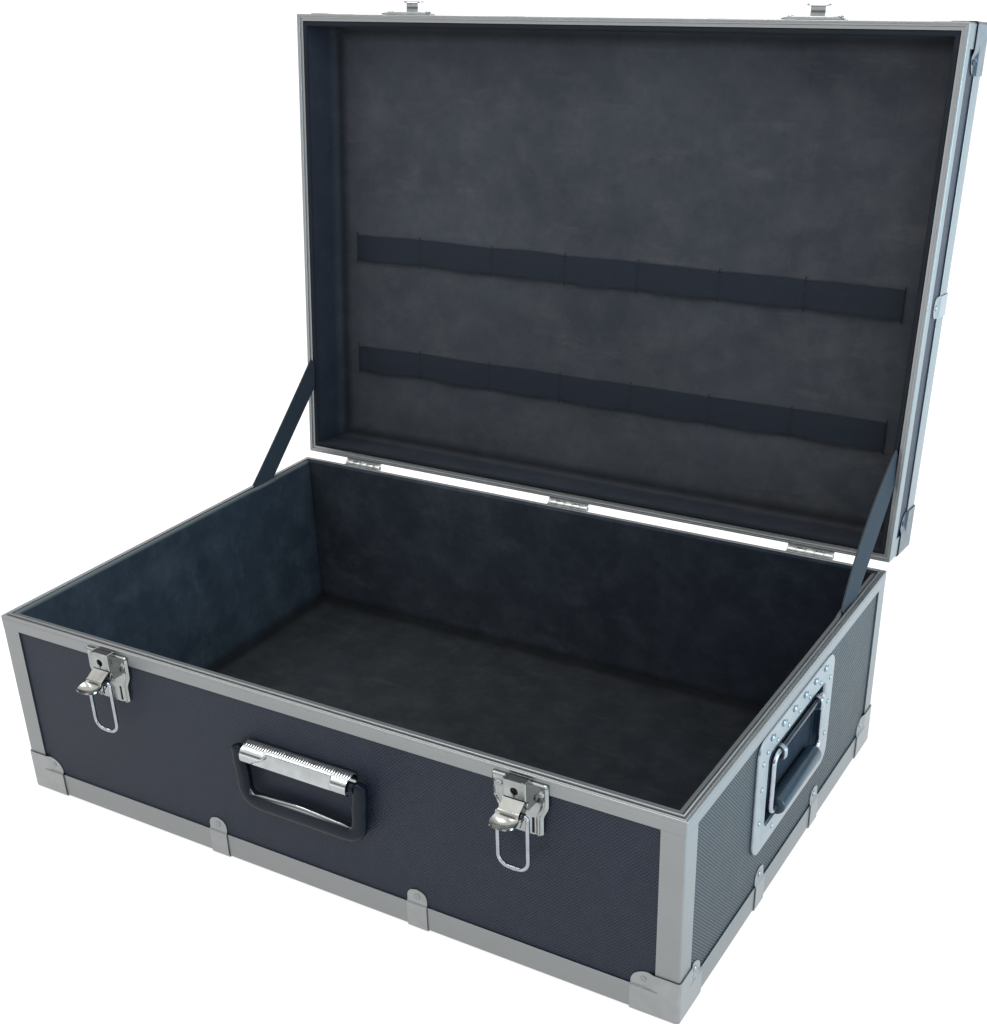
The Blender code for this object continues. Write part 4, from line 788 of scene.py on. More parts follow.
# Linings
def lining(edge, way, floor, rear):
    """A padded lining: down from its rounded top edge, round a soft fold, and across to the middle.

    Gentle sums of sines move its walls inwards and its floor up by a few tenths of a millimetre.
    """
    top = edge + (1.2 if way > 0 else 0.7) * mm
    leg = edge + way * 9.3 * mm
    line = [(half_y, rear), (5.2 * mm, rear), (5.2 * mm, leg), (6.5 * mm, leg), (6.5 * mm, top)]
    line += [(lining_face, up) for up in (top, top + way * 2.2 * mm, top + way * 3 * mm, floor)] + [(half_y, floor)]
    section = fillet(line, np.array([0, 1, 0.2, 0.2, 1.4, 1.8, 0, 0, 4.5, 0]) * mm, 5)
    section = resampled(section, 9 * mm)
    points, quads, uv, _ = ring(section, 3 * mm, 12 * mm)
    x, y, z = points.T
    from_x, from_y = half_x - np.abs(x), half_y - np.abs(y)
    inset = np.minimum(from_x, from_y)
    drop, below = way * (floor - z), way * (z - top)
    on_face = (inset < 12 * mm) & (inset > 8 * mm)
    flat = ease(inset, 14 * mm, 26 * mm) * (np.abs(z - floor) < 0.5 * mm)
    wall_part = ease(drop, 8 * mm, 22 * mm) * ease(below, 4 * mm, 16 * mm) * on_face
    wave = np.sin(23 * x + 31 * y + 1) * np.sin(37 * y - 11 * x)
    wave = wave + 0.6 * np.sin(61 * x + 2) * np.sin(53 * z + 29 * y)
    z = z - way * flat * 0.28 * mm * wave
    below = way * (z - top)
    side = from_x < from_y
    stay_at = 131 * mm if way > 0 else 130.5 * mm
    bulge = 1.5 * mm * bell(y, stay_at, 17 * mm, 4) * (1 - ease(below, 4 * mm, 30 * mm)) * (inset > 6 * mm)
    pad = 0
    if way < 0:
        pad = 2.0 * mm * ease(71 * mm - np.abs(y + 4 * mm), 0, 6 * mm)
        pad = pad * ease(z, 37 * mm, 43 * mm) * ease(137 * mm - z, 0, 6 * mm)
    push = 0.22 * mm * wave * wall_part + pad * side * on_face
    x = x - np.sign(x) * (side * push + bulge * (from_x < 12 * mm))
    y = y - np.sign(y) * ~side * push
    near_edge = inset < 12 * mm
    # Painted shade in the fold along the floor and in the upright corners.
    fold = np.exp(-np.abs(drop) / (3 * mm)) * (inset < 16 * mm)
    fold = fold + np.exp(-np.hypot(inset - lining_face, drop) / (4 * mm))
    along_corner = np.maximum(half_x - np.abs(x), half_y - np.abs(y)) - lining_face
    upright = np.exp(-np.abs(along_corner) / (5 * mm)) * near_edge
    shade = np.clip(0.55 * fold + 0.45 * upright, 0, 0.9)
    # The top edge takes the edge colour: painted highlight on the base, but not along its back wall, and painted
    # shade on the lid.
    seen = (way > 0) | (y < half_y - 12 * mm)
    painted_rim_edge = (np.abs(points[:, 2] - top) < 2.4 * mm) & (inset > 6.9 * mm) & near_edge & seen
    shade = np.where(painted_rim_edge, -0.75, shade)
    # Painted shade where the lining tucks in behind the rim.
    shade = np.where((inset < 6.9 * mm) & (below < 6 * mm), 0.8, shade)
    return [(np.stack((x, y, z), -1), quads, uv, shade)]


base_pad = lining(seam, -1, 0.0, -4.1 * mm)
lid_pad = moved(lining(lid_seam, 1, lid_floor, lid_floor + 4.1 * mm), lid_turn)
piece("base_cloth_lining", base_pad, base_cloth, "base", "base_lining", sharp=60)
piece("lid_cloth_lining", lid_pad, lid_cloth, "lid", "lid_lining", sharp=60)


# Elastics and stays
elastic_shares = (0.0, 0.137, 0.285, 0.428, 0.563, 0.705, 0.847, 1.0)


def elastic(depth):
    """A band stitched down at intervals: between stitches it stands off as half a sine, and it draws in at each."""
    half = half_x - 33 * mm
    ends = np.array(elastic_shares)
    share = np.concatenate([np.linspace(a, b, 24, endpoint=False) for a, b in zip(ends, ends[1:])] + [[1.0]])
    loop = np.clip(np.searchsorted(ends, share, "right") - 1, 0, len(ends) - 2)
    inside = (share - ends[loop]) / (ends[loop + 1] - ends[loop])
    near = np.minimum(inside, 1 - inside)
    lift = 1.7 * mm + 2.0 * mm * np.sin(np.pi * inside) ** 0.7
    across = np.linspace(-1, 1, 17)
    draw = 1 - 0.045 * np.exp(-near / 0.05)
    x = (share * 2 - 1) * half
    sag = 0.5 * mm * np.sin(9 * share * np.pi) + 0.35 * mm * np.sin(31 * share + 1)
    curl = 0.9 * mm * across**8 * np.sin(np.pi * inside)[:, None] * (across > 0)
    z = lid_floor - lift[:, None] * (1 - 0.12 * across**2) - curl
    y = -half_y + depth + 13 * mm * across * draw[:, None] + sag[:, None]
    face = grid(x[:, None], y, z)
    # The stitched seams where the band dips are darkened as painted shade, and its lower edge as painted shadow.
    seam_shade = 0.55 * bell(near, 0, 0.012)[:, None] * (0.7 + 0.3 * np.cos(across * 40))
    shade = np.maximum(seam_shade, 0.9 * ease(across, 0.72, 0.97)[None] + 0 * seam_shade)
    made = thick(face, -1.0 * mm, shade, shade)
    threads = []
    for end in ends:
        middle = np.interp(end, share, sag)
        for row, reach in ((-12.4, 1.9), (12.4, 1.6)):
            spot = np.array(((end * 2 - 1) * half, -half_y + depth + middle + row * mm, lid_floor - 1.9 * mm))
            away = 1.3 * np.sign(row) * (abs(row) > 12)
            run = [(0.1, -reach, 1.1), (0, -0.6 * reach, -0.25), (0.1, 0.6 * reach, -0.25), (0, reach, 1.2)]
            run = (np.array(run) + (0, away, 0)) * mm
            threads += tube(flowing(spot + run, 3), 0.42 * mm, 0.42 * mm, (1, 0, 0), sides=6)
    return made, threads


for word, share in (("front", 0.5080), ("back", 0.7738)):
    band, threads = elastic(share * 439 * mm)
    piece(f"elastic_{word}_band", moved(band, lid_turn), elastic_weave, "lid",
          f"lid_elastic_{word}", sharp=50)
    piece(f"elastic_{word}_stitches", moved(threads, lid_turn), thread, "lid")


def stay(hand, side):
    """A webbing stay, drawn tight from behind one lining's edge to behind the other's.

    Its face is flat across and turns about its own length by a half sine of a few degrees.
    """
    x = side * (half_x - 7.1 * mm)
    low = Vector((x, 130.5 * mm, seam))
    high = lid_turn @ Vector((x, 131 * mm, lid_seam))
    spare = 8 * mm
    run = (high - low).length + 2 * spare
    rise = math.atan2(high.z - low.z, high.y - low.y)
    share = np.linspace(0, 1, 65)[:, None]
    across = np.linspace(-12.5, 12.5, 9) * mm
    twist = side * math.radians(13 if side > 0 else 3) * np.sin(np.pi * share) ** 0.6
    bow = -side * 1.2 * mm * np.sin(np.pi * share) * (side > 0)
    face = grid(bow - across * np.sin(twist), (share - 0.5) * run, across * np.cos(twist))
    where = Matrix.Translation((low + high) / 2) @ turn("X", rise)
    strap = moved(thick(face, 1.3 * mm * side), where)
    item = piece(f"stay_{hand}_webbing", strap, stay_weave, None, f"stay_{hand}", sharp=50)
    along = (high - low).normalized() * spare
    low - along
    high + along
    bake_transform(item)


stay("left", -1)
stay("right", 1)


# Latches
def latch_backing():
    """The backing plate: waisted outline, curled top lip, raised side ribs, two upright slots and two rivets."""
    top = -3.6 * mm
    drop = np.array([0, 0.15, 0.6, 1.3, 2.0, 17.5, 19, 21, 24, 27, 29, 31, 42.4, 43.1, 43.8, 44.25, 44.4]) * mm
    half = np.array([20.75, 21.6, 22.3, 22.7, 22.75, 22.75, 22.6, 22.1, 20.6,
                     19.2, 18.65, 18.5, 18.5, 18.4, 17.9, 17.2, 16.5]) * mm
    slot_rows = np.array([29.8, 30, 43, 43.2]) * mm
    rows = np.unique(np.round(np.concatenate((drop, np.arange(2, 44, 1.0) * mm, slot_rows)), 7))
    edges = np.array([9.4, 9.55, 11.45, 11.6])
    columns = np.unique(np.round(np.concatenate((np.arange(-22.8, 22.9, 0.95), edges, -edges)), 5)) * mm

    def slot(x, y):
        """1 within the two upright slots, and 0 elsewhere."""
        inside = (np.abs(np.abs(x) - 10.5 * mm) < 0.96 * mm) & (top - y > 29.99 * mm) & (top - y < 43.01 * mm)
        return inside.astype(float)

    def height(x, y):
        d = top - y
        w = np.interp(d, drop, half)
        lip = 1.7 * mm * bell(d, 1.1 * mm, 0.85 * mm)
        rib = 1.1 * mm * bell(np.abs(x) - w, -1.9 * mm, 0.85 * mm) * ease(d, 3 * mm, 6 * mm)
        rib = rib - 0.35 * mm * bell(np.abs(x) - w, -4.2 * mm, 0.8 * mm) * ease(d, 16 * mm, 22 * mm)
        skirt = 0.5 * mm * ease(d, 27 * mm, 31 * mm) * (1 - ease(np.abs(x), 8 * mm, 14 * mm))
        roll = -0.5 * mm * ease(np.abs(x), w - 0.5 * mm, w)
        return outer + lip + rib + skirt + roll - 1.4 * mm * slot(x, y)

    # The slots' floors are painted shade, dark as open slots.
    made = plate(columns, top - rows, np.interp(rows, drop, half), height, shade=slot)
    for side in (-1, 1):
        made += moved(rivet(2.9 * mm, 1.0 * mm), place(side * 17 * mm, -12.2 * mm, outer))
    return made


def keyhole(count=48):
    """The hole's outline: a circle with a short slit below it, listed by angle."""
    angle = np.linspace(0, 2 * np.pi, count + 1) - np.pi / 2
    across, up = np.cos(angle), np.sin(angle)
    radius = 3.1 * mm * np.ones_like(angle)
    slit = (up < 0) & (np.abs(across) * 5.2 < 1.0)
    reach = np.where(slit, 5.0 * mm / np.maximum(-up, 0.2), radius)
    return np.stack((across, up), -1) * np.maximum(radius, reach)[:, None]


def latch_box():
    """The lock housing: a sheet bent to a U whose cheeks carry the lever, its front pierced by the keyhole."""
    half, front, low = 9.6 * mm, 10 * mm, -15.5 * mm
    bend = 1.6 * mm
    line = fillet([(-half, 1.4 * mm), (-half, front), (half, front), (half, 1.4 * mm)], bend, 6)
    flat_edge = half - bend
    left = line[line[:, 0] <= -flat_edge + 1e-9]
    made = []
    for way in (-1, 1):
        side = resampled(left, 1.0 * mm) * (-way, 1)
        cheek = ease(side[:, 1], 6.6 * mm, 9.9 * mm)
        tail = -25.2 * mm * (1 - cheek) + low * cheek
        share = np.linspace(0, 1, 24)[:, None]
        up = -1.6 * mm + (tail + 1.6 * mm)[None] * share
        face = grid(side[None, :, 0], up, side[None, :, 1])
        # The cheeks' insides are painted shade.
        made += thick(face, -sheet * way, inner=0.8)
    # A dark sheet across the box under its top: painted shade, so the gap between plate and box reads black.
    shade_sheet = np.array([(-8.3, 1.6), (8.3, 1.6), (8.3, 8.7), (-8.3, 8.7)]) * mm
    rows = [looped(np.insert(shade_sheet, 1, up * mm, axis=1)) for up in (-2.6, -3.4)]
    closed = [0 * row + row[:4].mean(0) for row in rows]
    made.append(surface(np.stack((closed[0], *rows, closed[1]), 1), 1.0))
    hole = keyhole() + (0, lock_drop)
    angle = np.linspace(0, 2 * np.pi, len(hole)) - np.pi / 2
    ray = np.stack((np.cos(angle), np.sin(angle)), -1)
    reach_x = flat_edge / np.maximum(np.abs(ray[:, 0]), 1e-6)
    tall = np.where(ray[:, 1] > 0, 8.5 * mm, 5.4 * mm)
    reach_y = tall / np.maximum(np.abs(ray[:, 1]), 1e-6)
    edge = ray * np.minimum(reach_x, reach_y)[:, None] + (0, lock_drop)
    lip = hole * 0.97 + edge * 0.03
    rows = [(hole, sheet), (hole, 0.25 * mm), (lip, 0), (edge, 0), (edge, sheet), (hole, sheet)]
    # The keyhole's walls are painted shade.
    dark = np.array([0.9, 0.5, 0, 0, 0, 0.9])
    made.append(surface(np.stack([np.insert(line, 2, front - behind, axis=1) for line, behind in rows], 1), dark))
    for way in (-1, 1):
        head = place(way * half, *axle[1:]) @ turn("Y", way * math.pi / 2)
        made += moved(rod(2.6 * mm, -0.1 * mm, 0.9 * mm), head)
    return made


def latch_lever(droop):
    """The lever in (along, up, out) from its axle: a root that leans out, a step, and a dished spoon that turns up.

    Its path is turned down by droop about the axle. Across its width each section is raised by a multiple of the
    square of the share across.
    """
    path = np.array([(-2.3, 1.6), (-1.5, 2.7), (0.2, 3.3), (4.2, 4.4), (8.2, 5.4), (9.6, 5.9), (10.6, 5.4),
                     (12.0, 4.7), (13.8, 5.0), (16.4, 6.3), (19.2, 8.5), (21.6, 11.2), (22.9, 13.3), (23.5, 14.8)])
    wide = np.array([7.6, 8.3, 8.5, 8.5, 8.5, 8.6, 8.9, 9.3, 9.9, 10.4, 10.4, 9.3, 7.2, 3.4])
    dish = np.array([0, 0, 0, 0, 0, 0.1, 0.4, 0.9, 1.5, 2.1, 2.2, 1.7, 0.9, 0.2])
    c, s = math.cos(droop), math.sin(droop)
    path = path @ np.array(((c, -s), (s, c)))
    line = flowing(np.column_stack((path, wide, dish)), 5) * mm
    share = np.linspace(-1, 1, 25)
    ahead = unit(np.gradient(line[:, :2], axis=0))
    lift = line[:, 3:] * (share**2 - 0.4)
    out = line[:, :1] - ahead[:, 1:] * lift
    up = line[:, 1:2] + ahead[:, :1] * lift
    face = grid(line[:, 2:3] * share, up, out)
    # Painted shade marks a slot by the root; the sheet isn't cut there.
    slot = (np.abs(line[:, :1] - 1.6 * mm) < 0.75 * mm) & (np.abs(share - 0.34) < 0.30)
    made = thick(face, -sheet, slot * 1.0)
    drop = 2.6 * droop / droops["left"]
    outline = [(-3.0, 2.6), (-3.2, -2.4), (2.7, -4.0), (9.6, -3.2)]
    outline += [(12.6, 2.0 - drop * 0.5), (10.2, 4.6 - drop), (8.2, 5.0 - drop)]
    outline = fillet(outline, [0.3, 1.2, 1.4, 2.0, 0.5, 0.5, 0.3], 4, closed=True) * mm
    outline = looped(outline)[:, ::-1]
    middle = np.broadcast_to(np.array((0.6, 4.0)) * mm, outline.shape)
    for way in (-1, 1):
        rows = [(middle, 7.0), (outline, 7.0), (outline, 8.2), (middle, 8.2)]
        made.append(surface(np.stack([np.insert(line, 0, way * at * mm, axis=1) for line, at in rows], 1)))
    return made


def latch_bail():
    """The bail: round wire bent to a loop, with its butt weld in the middle of the bend."""
    half, reach, radius = (14 - 1.65) * mm, 47.5 * mm, 1.65 * mm
    inner = half - 6.1 * mm
    corners = [(-inner, 0, 0), (-half, 0, 0), (-half, 0, reach), (half, 0, reach), (half, 0, 0), (inner, 0, 0)]
    path = fillet(corners, np.array([0, 2.5, 9, 9, 2.5, 0]) * mm, 10)
    path = resampled(path, 1.2 * mm)
    weld = np.array((0.3 * mm, 0, reach))
    bulge = 1 + 0.22 * bell(np.linalg.norm(path - weld, axis=1), 0, 1.3 * mm)
    size = radius * bulge
    size[[0, -1]] *= 0.8
    return tube(path, size, size, (0, 1, 0), sides=14)


def latch_spring():
    """The torsion spring: a helix round the bail's pin with a tangent leg at each end."""
    coil, gauge, (_, up, arm) = 2.3 * mm, 0.35 * mm, bail_pin
    start = 8.2 * mm + fit_gap + gauge
    turns = np.linspace(0, 1.5, 37)
    around = 2 * np.pi * turns
    helix = grid(start + 0.78 * mm * turns, up - coil * np.cos(around), arm - coil * np.sin(around))
    first = [(start, up - coil, arm + 8 * mm)]
    last = [(helix[-1, 0], helix[-1, 1], arm + 4.8 * mm)]
    return tube(np.concatenate((first, helix, last)), gauge, gauge, (1, 0, 0), sides=8)


for hand, way in (("left", -1), ("right", 1)):
    rest = lever_rests[hand]
    wall_place = on_wall("front", way * latch_x, seam)
    lever_place = wall_place @ place(*axle) @ turn("X", -rest)
    bail_place = lever_place @ place(*bail_pin) @ turn("X", math.radians(90) + rest)
    lever, bail = f"latch_{hand}_lever", f"latch_{hand}_bail"
    for word, made in (("backing", latch_backing()), ("housing", latch_box())):
        made = moved(made, wall_place)
        piece(f"latch_{hand}_{word}", made, nickel, "base", f"latch_{hand}_plate")
    spoon = moved(latch_lever(droops[hand]), lever_place)
    piece(f"latch_{hand}_spoon", spoon, lever_steel, lever, lever)
    piece(f"latch_{hand}_wire", moved(latch_bail(), bail_place), wire, bail, bail)
    spring = moved(latch_spring(), lever_place)
    piece(f"latch_{hand}_coil", spring, blackened_and_shade, lever, f"latch_{hand}_spring")


# Strikes
def strike():
    """The lid's hooked plate in (along, up, out) from its seam: tapered ends, two rivets and a T-shaped lip.

    The plate is crowned: smooth steps let its middle stand out, and fall away along it and upwards.
    """
    rows = np.unique(np.round(np.concatenate((np.linspace(2.2, 23.7, 20), [2.3, 2.6, 3.2, 23.2, 23.6])), 4)) * mm
    levels = np.array([2.2, 2.3, 2.6, 3.4, 12.9, 14.0, 23.0, 23.5, 23.7]) * mm
    half = np.interp(rows, levels, np.array([25.6, 26.2, 26.7, 27, 27, 26.4, 20.4, 19.9, 19.2]) * mm)

    def height(x, y):
        edge = np.interp(y, rows, half)
        crown = 1.3 * mm * (1 - ease(np.abs(x), 17 * mm, 27 * mm)) * (1 - 0.8 * ease(y, 8 * mm, 23 * mm))
        crown = crown * ease(y, 1 * mm, 3.2 * mm)
        return outer + crown - 0.5 * mm * ease(np.abs(x), edge - 0.6 * mm, edge)

    made = plate(np.linspace(-27, 27, 41) * mm, rows, half, height)
    for side in (-1, 1):
        made += moved(rivet(2.7 * mm, 1.0 * mm), place(side * 21 * mm, 10.5 * mm, outer + 1.2 * mm))
    line = fillet([(1.0, 12.4), (1.7, 14.8), (12.4, 14.8), (12.4, 21.8)], [0, 1.2, 2.0, 0], 7) * mm
    line = resampled(line, 0.8 * mm)
    wide = 6.2 * mm + 3.8 * mm * ease(line[:, 0], 11.4 * mm, 12.2 * mm)
    wide = wide - 1.4 * mm * ease(line[:, 1], 20.4 * mm, 21.9 * mm)
    across = np.linspace(-1, 1, 15)
    face = grid(wide[:, None] * across, line[:, 1:], line[:, :1])
    # Painted shadow across the hook's neck, under the overhanging lip.
    band = 0.9 * bell(line[:, :1], 6.6 * mm, 1.4 * mm) + 0 * across
    return made + thick(face, -sheet, band, band)


for hand, way in (("left", -1), ("right", 1)):
    made = moved(strike(), lid_turn @ on_wall("front", way * latch_x, lid_seam))
    piece(f"strike_{hand}_hook", made, hood, "lid", f"lid_strike_{hand}")


# Front handle
def saddle():
    """The saddle: a sheet that slopes out from the wall, curls over the pivots and drops to a tongue between them.

    Each point is a blend of the hood's path and the tongue's. The blend is a smooth step at the tongue's ends: a
    swept shoulder on the left, where the step's place runs with the height, and a square end on the right. A cosine
    along the sloping part makes its fine flutes; their dark lines over a darkened slope are painted reflection and
    shade, and the gap at the tongue's square end is painted shade.
    """
    rise = [(-0.4, -60), (-0.4, -48.6), (0.1, -47.0), (1.4, -46.5)]
    curl = [(5.6, -47.6), (9.8, -49.3), (12.2, -51.2), (13.5, -54.4), (13.2, -57.8), (11.4, -60.5), (10.0, -61.3)]
    fall = [(4.4, -47.3), (7.4, -48.4), (9.0, -49.4), (8.8, -50.6), (9.4, -54.2), (10.3, -58.2), (11.0, -61.0)]
    over, tongue = flowing(rise + curl, 5) * mm, flowing(rise + fall, 5) * mm
    along = np.unique(np.round(np.concatenate((np.arange(-52, 52.1, 0.48), np.linspace(34.8, 38, 13))), 3)) * mm
    height = np.clip((tongue[:, 1] + 61 * mm) / (11 * mm), 0, 1)
    shoulder = 42.5 * mm - 13 * mm * height**3
    beside = np.where(along[:, None] < 0, -along[:, None] - shoulder, along[:, None] - 36.4 * mm)
    middle = (1 - ease(beside, -0.9 * mm, 0.9 * mm))[..., None]
    line = over[None] * (1 - middle) + tongue[None] * middle
    slope = ease(line[..., 0], 0.6 * mm, 1.6 * mm) * (1 - ease(-line[..., 1], 48.2 * mm, 49.6 * mm))
    ripple = np.cos(along[:, None] * 2 * np.pi / (2.4 * mm))
    flute = 0.12 * mm * ripple * slope
    line = line + np.stack((0 * flute, flute), -1)
    face = grid(along[:, None], line[..., 1], line[..., 0])
    # Painted shade in the gap at the tongue's square end, and painted reflection and shade: dark lines between the
    # flutes over a darkened slope.
    dark = 0.85 * bell(beside, 0, 0.7 * mm) * (along[:, None] > 0) * (np.arange(len(over)) > 30)
    dark = np.maximum(dark, (0.35 + 0.6 * (0.5 - 0.5 * ripple) ** 0.5) * slope)
    return thick(face, 1.0 * mm, dark)


def hand_grip():
    """The moulded D grip in (along, up, out) from its axis: one rounded section carried down, across and up.

    The bar is taller than the arms are wide, its upper edge rises by a squared cosine to the middle, and the arms'
    ends are round.
    """
    arm_line = [(59.2, 4.6), (59.2, -10), (57.5, -20), (56.5, -45.5)]
    corners = [(-x, up) for x, up in arm_line] + arm_line[::-1]
    path = resampled(fillet(corners, [0, 4, 4, 12, 12, 4, 4, 0], 12), 1.4)
    x, up = path.T
    arm = ease(np.abs(x), 38, 54)
    wide = 8.3 * (1 - arm) + arm * 6.8
    wave = 2.2 * np.cos(np.clip(x / 46, -1, 1) * np.pi / 2) ** 2 * (1 - arm)
    tip = np.sqrt(np.clip(1 - (np.clip((up - 0.2) / 4.4, 0, 1)) ** 2, 0.02, 1))
    path = np.stack((x, up + wave * 0.5, np.full_like(x, -1.5)), -1) * mm
    wide, deep = (wide + wave * 0.5) * tip * mm, 4.3 * (0.55 + 0.45 * tip) * mm
    made = tube(path, wide, deep, (0, 0, 1), sides=40, square=2.7)
    for way in (-1, 1):
        made += moved(rod(4.3 * mm, 37.5 * mm, 56 * mm, soften=0.5 * mm), turn("Y", way * math.pi / 2))
    return made


handle_place = on_wall("front", 0, seam)
made = moved(saddle(), handle_place)
piece("front_handle_hood", made, hood, "base", "front_handle_saddle", sharp=50)
made = moved(hand_grip(), handle_place @ place(0, -54.8 * mm, 7.6 * mm))
body = "front_handle_grip"
piece("front_handle_moulding", made, handle_black, body, body, sharp=50)


# Side handles
def box_line(half_a, half_b, middle, bend, steps=8):
    """A rounded rectangle in (along, up), closed."""
    corners = [(half_a, -half_b), (half_a, half_b), (-half_a, half_b), (-half_a, -half_b)]
    line = fillet(np.array(corners) + (0, middle), bend, steps, closed=True)
    return looped(line)


def dish():
    """The recessed plate, and a dark sheet over its tray whose colour is painted reflection and shade.

    Each is lofted through rounded rectangles: the plate's run from its rear edge over the flange and down the
    tray's drafted wall to its floor.
    """
    face, middle = 1.2 * mm, -53.5 * mm

    def flange(trim, out, bend):
        """An outline within the plate's edge."""
        return 85 - trim, 53 - trim, -53, out, bend

    def tray(grow, out, bend):
        """An outline round the tray's mouth, or within it."""
        return 64 + grow, 33.5 + grow, -53.5, out, bend

    def loft(rows):
        """A grid through rounded rectangles of (half along, half up, middle, out, bend) in mm."""
        return np.stack([np.insert(box_line(w, h, y, bend), 2, out, axis=1) * mm for w, h, y, out, bend in rows], 1)

    point = 0.3, 0.3, -53.5
    rows = [(*point, -9.4, 0.1), tray(-4.4, -9.4, 5.5), tray(-2.2, -7.8, 6), tray(0.8, -1, 7), flange(0, -1, 14)]
    rows += [flange(0, 0.3, 14), flange(0.4, 1, 13.6), flange(1.2, 1.2, 13), (76, 45, -53, 1.2, 10)]
    rows += [tray(3.4, 1.4, 8), tray(1.8, 1.7, 7), tray(0.6, 1.4, 6.5), tray(0, 0.4, 6), tray(-3, -7, 6)]
    rows += [tray(-4, -8.2, 5.5), tray(-5.2, -8.5, 5), (*point, -8.5, 0.1)]
    # Painted shade down the tray's wall and floor within the plate.
    shade = np.array([0, 0, 0, 0, 0, 0, 0, 0, 0, 0.1, 0, 0, 0.2, 0.5, 0.7, 0.62, 0.5])
    made = [surface(loft(rows), shade)]
    rows = [(*point, -8.9, 0.1), tray(-4.4, -8.7, 5), tray(-3.2, -7.1, 6), tray(-0.5, -0.4, 6), tray(-0.9, -0.4, 6)]
    rows += [tray(-3.6, -6.9, 6), tray(-4.8, -7.9, 5), tray(-6, -8.2, 5), (*point, -8.2, 0.1)]
    shaded_tray = [surface(loft(rows))]
    spots = [(x, -6.5, 2.9, 1.9) for x in (-60, -36, -12, 12, 36, 60)]
    spots += [(x, -15, 2.0, 1.2) for x in (-68, -48, -24, 0, 24, 50)]
    spots += [(x, y, 2.3, 1.0) for x in (-75, 75) for y in (-22, -45, -76)]
    spots += [(x, -97, 2.3, 0.9) for x in (-44, 0, 44)]
    for x, y, radius, height in spots:
        made += moved(rivet(radius * mm, height * mm), place(x * mm, y * mm, face))
    # Small dark marks on the top band, dark in the tray's moulding as painted shade.
    for x in (-54, -30, -6, 18, 42, 66):
        mark = revolved(np.array([(0, 0.35), (1.0, 0.35), (1.3, 0), (1.3, -0.5), (0, -0.5)]) * mm, 14, 1.0)
        shaded_tray += moved(mark, place(x * mm, -8.5 * mm, face) @ Matrix.Diagonal((0.9, 2.0, 0.5, 1)))
    for x, wide in ((20, 1.6), (27, 0.9), (34, 1.7), (40, 0.8), (-38, 0.9)):
        rib = revolved(np.array([(0, 1.5), (0.6, 1.4), (1.0, 0), (0, 0)]) * mm, 12)
        made += moved(rib, place(x * mm, middle + 14 * mm, face - 9.8 * mm) @ Matrix.Diagonal((wide, 15, 1, 1)))
    for way in (-1, 1):
        ear = np.array([(0, 0.4), (1.9, 0.4), (2.5, 1.2), (2.5, 5.6), (1.6, 6.6), (0, 6.9)]) * mm
        across, out = np.concatenate((ear, ear[::-1] * (-1, 1))).T
        share = np.linspace(-1, 1, 9)[:, None]
        round_off = np.sqrt(np.clip(1 - np.abs(share) ** 3.2, 0, 1))
        out = 1.0 * mm + out * (0.35 + 0.65 * round_off)
        section = grid(across + way * 42 * mm, -28.5 * mm + 6.2 * mm * share, out)
        ends = [np.repeat(section[k].mean(0)[None, None], len(across), 1) for k in (0, -1)]
        made.append(surface(np.concatenate((ends[0], section, ends[1]))))
    return made, shaded_tray


def side_ring():
    """The bail: round wire bent to a closed rectangle that hangs from the ears."""
    line = box_line(56 * mm, 26 * mm, -26 * mm, 8 * mm)[:-1]
    path = np.concatenate((line, np.zeros((len(line), 1))), 1)
    return tube(path, 2.5 * mm, 2.5 * mm, (0, 0, 1), closed=True, sides=14)


def side_sleeve():
    """The rod along the bail's upper bar, between its rounded corners, in a dark plating that paints its shade."""
    return moved(rod(2.62 * mm, -46 * mm, 46 * mm, soften=0.1 * mm), turn("Y", math.pi / 2))


def side_tube():
    """The grip: a plain tube with softened ends and a bore's dark mouth at each."""
    end = [(2.6, 44.0), (3.2, 44.0), (6.6, 44.0), (7.6, 43.3), (8.0, 42.0)]
    profile = looped(np.array([(radius, -at) for radius, at in end] + end[::-1])) * mm
    # The shade marks painted shade in the bore's mouths; the slate moulding doesn't read it.
    shade = np.array([1, 0.4, 0, 0, 0, 0, 0, 0, 0.4, 1, 1])
    return moved(revolved(profile, 32, shade), turn("Y", math.pi / 2))


for hand, way in (("left", -1), ("right", 1)):
    dish_place = on_wall(hand, -4 * mm, seam - 12.8 * mm)
    axis_place = dish_place @ place(0, -26 * mm, 2.2 * mm)
    made, shaded_tray = dish()
    bail = f"side_handle_{hand}_bail"
    piece(f"side_{hand}_plate", moved(made, dish_place), zinc, "base", f"side_handle_{hand}_dish")
    piece(f"side_{hand}_tray", moved(shaded_tray, dish_place), tray_painted_reflection, "base")
    piece(f"side_{hand}_ring", moved(side_ring(), axis_place), wire, bail, bail)
    # The sleeve's dark plating is painted shade.
    piece(f"side_{hand}_sleeve", moved(side_sleeve(), axis_place), shade_plating, bail)
    made = moved(side_tube(), axis_place @ place(0, -52 * mm))
    piece(f"side_{hand}_tube", made, black, bail, f"side_handle_{hand}_grip")


